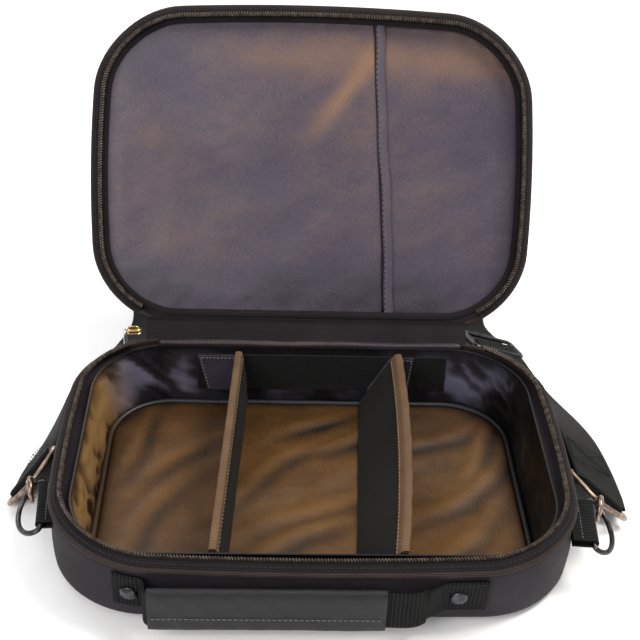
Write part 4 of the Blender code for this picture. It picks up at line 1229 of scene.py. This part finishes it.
def make_handle_webbing():
    """Both ends of the webbing: riveted on the wall, folded out and run into the sleeve."""
    mid, half = HANDLE_MID_Z, HANDLE_HALF
    left = [wall_face(x, mid, 0.0020)[:2] for x in (-0.1062, -0.1015, -0.0970, -0.0930)]
    left += [wall_face(-0.0905, mid, 0.0026)[:2], (-0.0893, -0.1055), (-0.0890, -0.1095), (-0.0872, -0.1117)]
    left += [(x, HANDLE_Y) for x in (-0.0840, -0.070, -0.040, -0.0265)]
    right = [(x, HANDLE_Y) for x in (-0.0245, -0.005, 0.020, 0.036)]
    right += [(0.0475, HANDLE_Y - 0.0002), (0.0535, -0.1110), (0.0590, -0.1075), (0.0640, -0.1045)]
    right += [wall_face(x, mid, 0.0022)[:2] for x in (0.0680, 0.0730, 0.0790, 0.0850, 0.0902)]
    ends = (
        ("left", left, ("handle_end_left", "handle_webbing"), -0.0920, -0.0800),
        ("right", right, ("handle_end_right",), 0.0660, 0.0440),
    )
    section = ribbon_section(2 * half, 0.0017, 10)
    across, out_by = section[:, 0], section[:, 1]
    for side, plan, nodes, fixed_x, free_x in ends:
        line = resample(curve(np.array(plan), 8), 0.0011)
        tangent = unit(np.gradient(line, axis=0))
        rows = []
        for (x, y), (along_x, along_y) in zip(line, tangent):
            lean = 0.0
            if y > -0.1085:
                lean = (front_wall_y(x, mid + half) - front_wall_y(x, mid - half)) / (2 * half)
            ys = y - along_x * out_by + lean * across
            rows.append(np.column_stack([x + along_y * out_by, ys, mid + across]))
        web = piece("handle_web_" + side, solid(rows), WEBBING, None, nodes)
        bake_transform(web)
    runs = []
    for low_x, high_x in ((-0.1048, -0.0935), (0.0678, 0.0890)):
        xs = np.linspace(low_x, high_x, 8)
        corners = [wall_face(x, mid - 0.0105, 0.0032) for x in xs]
        corners += [wall_face(x, mid + 0.0105, 0.0032) for x in xs[::-1]]
        runs.append((corners + [corners[0]], (0, -1, 0), 0.0026))
    sewn("handle_patch_stitches", DARK_THREAD, "black_webbing", "base", *runs)


def make_rivets():
    reach, mid = 0.004, HANDLE_MID_Z
    profile = ((-0.0006, 0.0046), (0.0, 0.0048), (0.0004, 0.0048), (0.0009, 0.0045), (0.0015, 0.0038))
    profile += ((0.0020, 0.0027), (0.0023, 0.0013), (0.0024, 0.0004))
    for side, x in (("left", -0.097), ("right", 0.075)):
        right = unit(wall_face(x + reach, mid, 0) - wall_face(x - reach, mid, 0))
        rise = unit(wall_face(x, mid + reach, 0) - wall_face(x, mid - reach, 0))
        out = -np.cross(rise, right)
        out = -out if out[1] > 0 else out
        rows = turned_rows(wall_face(x, mid, 0) + out * 0.0030, out, right, rise, profile, 28)
        piece("rivet_" + side, solid(rows), RIVET, "base", ("handle_rivet_" + side,))


def make_sleeve():
    """Coated cloth wrapped round the webbing, with a stitched line near its lower edge."""
    mid, steps = HANDLE_MID_Z, 44
    rows = []
    for x in np.linspace(*GRIP, 60):
        share = (x - GRIP[0]) / (GRIP[1] - GRIP[0])
        pinch = 1 - 0.10 * math.exp(-min(share, 1 - share) * 40)
        sag = 0.0004 * math.sin(share * math.pi * 3) + 0.0003 * math.sin(share * 17)
        section = []
        for a in TAU * np.arange(steps) / steps:
            c, s = math.cos(a), math.sin(a)
            y = 0.0034 * pinch * math.copysign(abs(c) ** 0.75, c)
            z = 0.0142 * math.copysign(abs(s) ** 0.42, s)
            crease = 0.00022 * math.sin(share * 46 + z * 260) * math.exp(-((s - 0.2) ** 2))
            section.append((x, HANDLE_Y + y - sag * (c < 0) * 0.3 + crease * (c < 0), mid + z))
        rows.append(section)
    turn = TAU * np.arange(steps) / steps
    y, z = HANDLE_Y + 0.0014 * np.cos(turn), mid + 0.0132 * np.sin(turn)
    rows += [np.column_stack([np.full(steps, x), y, z]) for x in GRIP[::-1]]
    piece("handle_sleeve", hoop(rows), LEATHER, "grip", ("handle_grip",))
    line = [(x, HANDLE_Y - 0.0036, mid - 0.0037) for x in np.linspace(GRIP[0] + 0.002, GRIP[1] - 0.002, 50)]
    sewn("handle_sleeve_stitches", PALE_THREAD, "dark_leatherette", "grip", (line, (0, -1, 0), 0.0028))


make_handle_webbing()
make_rivets()
make_sleeve()


# ---------------------------------------------------------------- lid
def lid_rows(*section):
    """Outlines of the closed lid, from (inset, height) pairs."""
    return [level(lid_outline(inset), z) for inset, z in section]


def make_lid():
    """Padded shell with its rim, and the gathered band inside the rim."""
    flat = lid_outline(0.042)

    def shrunk(shares, z):
        return [level(LID_CENTRE + (flat - LID_CENTRE) * share, z) for share in shares]

    rows = lid_rows((0.0046, 0.0600), (0.0040, 0.0597), (0.0016, 0.0596), (0.0002, 0.0604))
    for z in (0.0615, 0.0630, 0.0645, 0.0660):
        points = level(lid_outline(0.0002 + max(0, z - 0.0645) * 0.4), z)
        rows.append(push(points, 0.0006 + 0.0003 * ripple(points, 40.0, 8.0)))
    rows += lid_rows((0.0022, 0.0680), (0.0048, 0.0695), (0.0085, 0.0703), (0.014, 0.0708), (0.026, 0.0712))
    rows += lid_rows((0.042, 0.0714)) + shrunk((0.7, 0.4, 0.12, 0.01), 0.0715)
    rows = rows[::-1] + lid_rows((0.0048, 0.0668), (0.0060, 0.0690)) + shrunk((1.0, 0.01), 0.0692)
    rows = np.array(rows)
    rows[..., 2] += 0.0004 * ripple(rows, 18.0, 12.0) * (rows[..., 2] > 0.0705)
    case = piece("lid_case", solid(opened(rows)), NYLON, "lid", ("lid_shell",))
    make_rim("lid", lid_outline)
    section = lid_rows((0.0046, 0.0580), (0.0060, 0.0577), (0.0078, 0.0583))
    section += lid_rows((0.0086, 0.0594), (0.0080, 0.0600), (0.0050, 0.0598))
    rows = np.stack(section, 1)
    rows[..., 2] += 0.0002 * ripple(rows, 150.0, 3.0)
    piece("lid_inner_binding", hoop(opened(rows)), TAPE, "lid")


def pocket_x(y):
    """Where the inner edge of the pocket's hem crosses the lid."""
    return POCKET_EDGE + POCKET_SLANT * (y - LID_CENTRE[1])


def lid_cloth(name, limit, z_level, puff, nodes, seed, inset):
    """A sheet in rings of the outline shrunk to its centre, cut off along a slanting line if given."""
    edge = lid_outline(inset)
    centre = LID_CENTRE.copy()
    if limit:
        edge = np.column_stack([np.minimum(edge[:, 0], limit(edge[:, 1])), edge[:, 1]])
        centre[0] = -0.05
    rows, tones_and_painted_light = [], []
    for share in sheet_shares((0.93, 5), (0.90, 0.02, 36)):
        points = centre + (edge - centre) * share
        x, y = points[:, 0], points[:, 1]
        border = smooth(0.0, 0.16, 1 - share)
        soft = ripple(level(points, 0.0), 16.0, seed)
        slant = ripple(level(np.column_stack([x * 0.8 + y * 0.9, (y - x) * 0.35]), 0.0), 34.0, seed + 4)
        crease = (1 - np.abs(slant) * 3.0).clip(0, 1)
        gather = np.sin(x * 330 + 3 * np.sin(x * 60)) * np.exp(-(1 - share) / 0.05)
        lift = puff * border * (0.65 + 0.5 * soft) + 0.0004 * crease * border
        lift = lift + 0.0002 * gather * (share < 0.999)
        rows.append(level(points, z_level - lift))
        # Painted light in the tone: a painted bronze sheen band near the front edge, which stands at the top
        # when open, a painted glint, painted highlights where the cloth puffs more, creases and gathers, and
        # painted shade towards the back by the hinge.
        band = np.exp(-(((y - LID_FRONT - 0.024) / 0.013) ** 2)) * smooth(-0.10, 0.02, x)
        glint = np.exp(-(((x - 0.018 + (y + 0.045) * 0.7) / 0.008) ** 2))
        glint = glint * np.exp(-(((y + 0.045) / 0.022) ** 2))
        low = smooth(0.055, 0.088, y)
        tone = 0.07 * soft + 0.05 * crease + 0.10 * gather + 0.38 * band * (0.8 + 0.4 * soft)
        tones_and_painted_light.append(tone + 0.5 * glint - 0.22 * low * (0.4 + crease))
    rows += [level(centre + (edge - centre) * share, z_level + 0.0007) for share in (0.0005, 1.0)]
    tones_and_painted_light = np.array(tones_and_painted_light + [tones_and_painted_light[-1], tones_and_painted_light[0]])
    shells = Shells().rows(opened(rows), wrap=True, tone_and_painted_light=tones_and_painted_light)
    made = piece(name, shells, LID_SATIN, "lid", nodes)
    close_holes(made)
    return made


def make_lid_cloth():
    """Lining, pocket, and the pocket's folded hem with a stitched line along its inner side."""
    lining = lid_cloth("lid_lining_cloth", None, 0.0626, 0.0008, ("lid_lining",), 5.0, 0.0050)
    pocket = lid_cloth("lid_pocket_cloth", pocket_x, 0.0604, 0.0018, ("lid_pocket_panel",), 9.0, 0.0056)
    ys = np.linspace(LID_FRONT + 0.003, LID_BACK - 0.0085, 90)
    xs = [pocket_x(y) + 0.0005 * math.sin(y * 50) + 0.0003 * math.sin(y * 131) for y in ys]
    section = ((0.0, 0.0002), (0.0004, -0.0008), (0.0018, -0.0012), (0.0042, -0.0012), (0.0056, -0.0010))
    section += ((0.0062, -0.0002), (0.0056, 0.0006), (0.0004, 0.0008))
    rows = [[(x + a, y, 0.0603 + b) for a, b in section] for x, y in zip(xs, ys)]
    piece("lid_pocket_hem_band", solid(opened(rows)), LID_SATIN, "lid", ("lid_pocket_hem",))
    line = opened([(x + 0.0007, y, 0.0590) for x, y in zip(xs, ys)])
    normal = unit(opened(-UP) - opened(UP * 0))
    sewn("lid_pocket_stitches", DARK_THREAD, "grey_satin", "lid", (line, normal, 0.0034, 0.62))


make_lid()
make_lid_cloth()


# ---------------------------------------------------------------- fabric hinge and rolled back edge
def make_hinge():
    """The gusset from rim to rim, and the rolled cloth along the back of the base."""
    section = ((0.0985, 0.0452), (0.1008, 0.0462), (0.1030, 0.0478), (0.1050, 0.0489))
    section += ((0.1072, 0.0496), (0.1095, 0.0502), (0.1110, 0.0516), (0.1118, 0.0536))
    line = resample(curve(section, 6), 0.0006)
    tangent = unit(np.gradient(line, axis=0))
    normal = np.stack([-tangent[:, 1], tangent[:, 0]], 1)
    rows = []
    for x in np.linspace(-0.1055, 0.1015, 150):
        wave = 0.00025 * math.sin(x * 210) + 0.0002 * math.sin(x * 77 + 2)
        top = line + normal * (0.0005 + wave)
        low = line - normal * (0.0005 - wave)
        loop = np.concatenate([top, low[::-1]])
        rows.append(np.column_stack([np.full(len(loop), x), loop]))
    nodes = ("hinge_web_base", "hinge_web_lid")
    web = piece("hinge_gusset", solid(rows), TAPE, None, nodes)
    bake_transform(web)
    xs = np.linspace(-0.095, 0.0955, 120)
    path = np.column_stack([xs, np.full(120, 0.0955), 0.0452 + 0.0003 * np.sin(xs * 90)])
    radius = 0.0021 + 0.00025 * ripple(path, 70.0, 6.0)
    shells = Shells()
    tube(shells, path, radius, 16)
    piece("back_edge_rolled_cloth", shells, ROLL_SATIN, "base", ("back_edge_roll",))


make_hinge()


# ---------------------------------------------------------------- slider and pull
def make_slider():
    """Slider body with its bridge, and the ring that pulls it."""
    half_x, half_y, half_z = 0.0045, 0.0031, 0.0021
    angle = TAU * np.arange(32) / 32
    c, s = np.cos(angle), np.sin(angle)
    rows = []
    for rise, grow in (*[(-rise, grow) for rise, grow in SLIDER_ROWS[::-1]], *SLIDER_ROWS):
        x = SLIDER[0] + half_x * grow * np.sign(c) * np.abs(c) ** 0.6
        y = SLIDER[1] + half_y * grow * (1 - 0.18 * c) * 0.85 * np.sign(s) * np.abs(s) ** 0.6
        rows.append(np.column_stack([x, y, np.full(32, SLIDER[2] + half_z * rise)]))
    shells = solid(rows)
    bridge = ((-0.0036, -0.0004), (-0.0030, 0.0008), (-0.0010, 0.0014), (0.0012, 0.0014), (0.0026, 0.0006))
    bridge = [SLIDER + np.array([x, 0, half_z + z]) for x, z in (*bridge, (0.0030, -0.0004))]
    tube(shells, curve(bridge, 4), 0.0006, 10, False, (0, 1, 0))
    piece("zipper_slider_body", shells, BRASS, "base", ("zipper_slider",))
    pivot = SLIDER + np.array([-half_x - 0.0014, 0, 0])
    length, half = 0.017, 0.0024
    path = []
    for angle in np.radians(np.linspace(0, 350, 36)):
        stretch = (length / 2 - half) * (1 if math.cos(angle) > 0 else -1)
        drop = half * math.cos(angle) + stretch - length / 2 + 0.0003
        path.append(pivot + np.array([0, half * math.sin(angle), drop]))
    shells = Shells()
    tube(shells, resample(path, 0.0006, True), 0.0008, 12, True, (1, 0, 0))
    piece("zipper_pull_ring", shells, STEEL, "zipper_pull", ("zipper_pull",))


make_slider()


# ---------------------------------------------------------------- CAD parts that stay
for kept in ("base_stiffener_board", "lid_stiffener_board"):
    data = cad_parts[kept].data
    data.materials.clear()
    data.materials.append(BOARD)
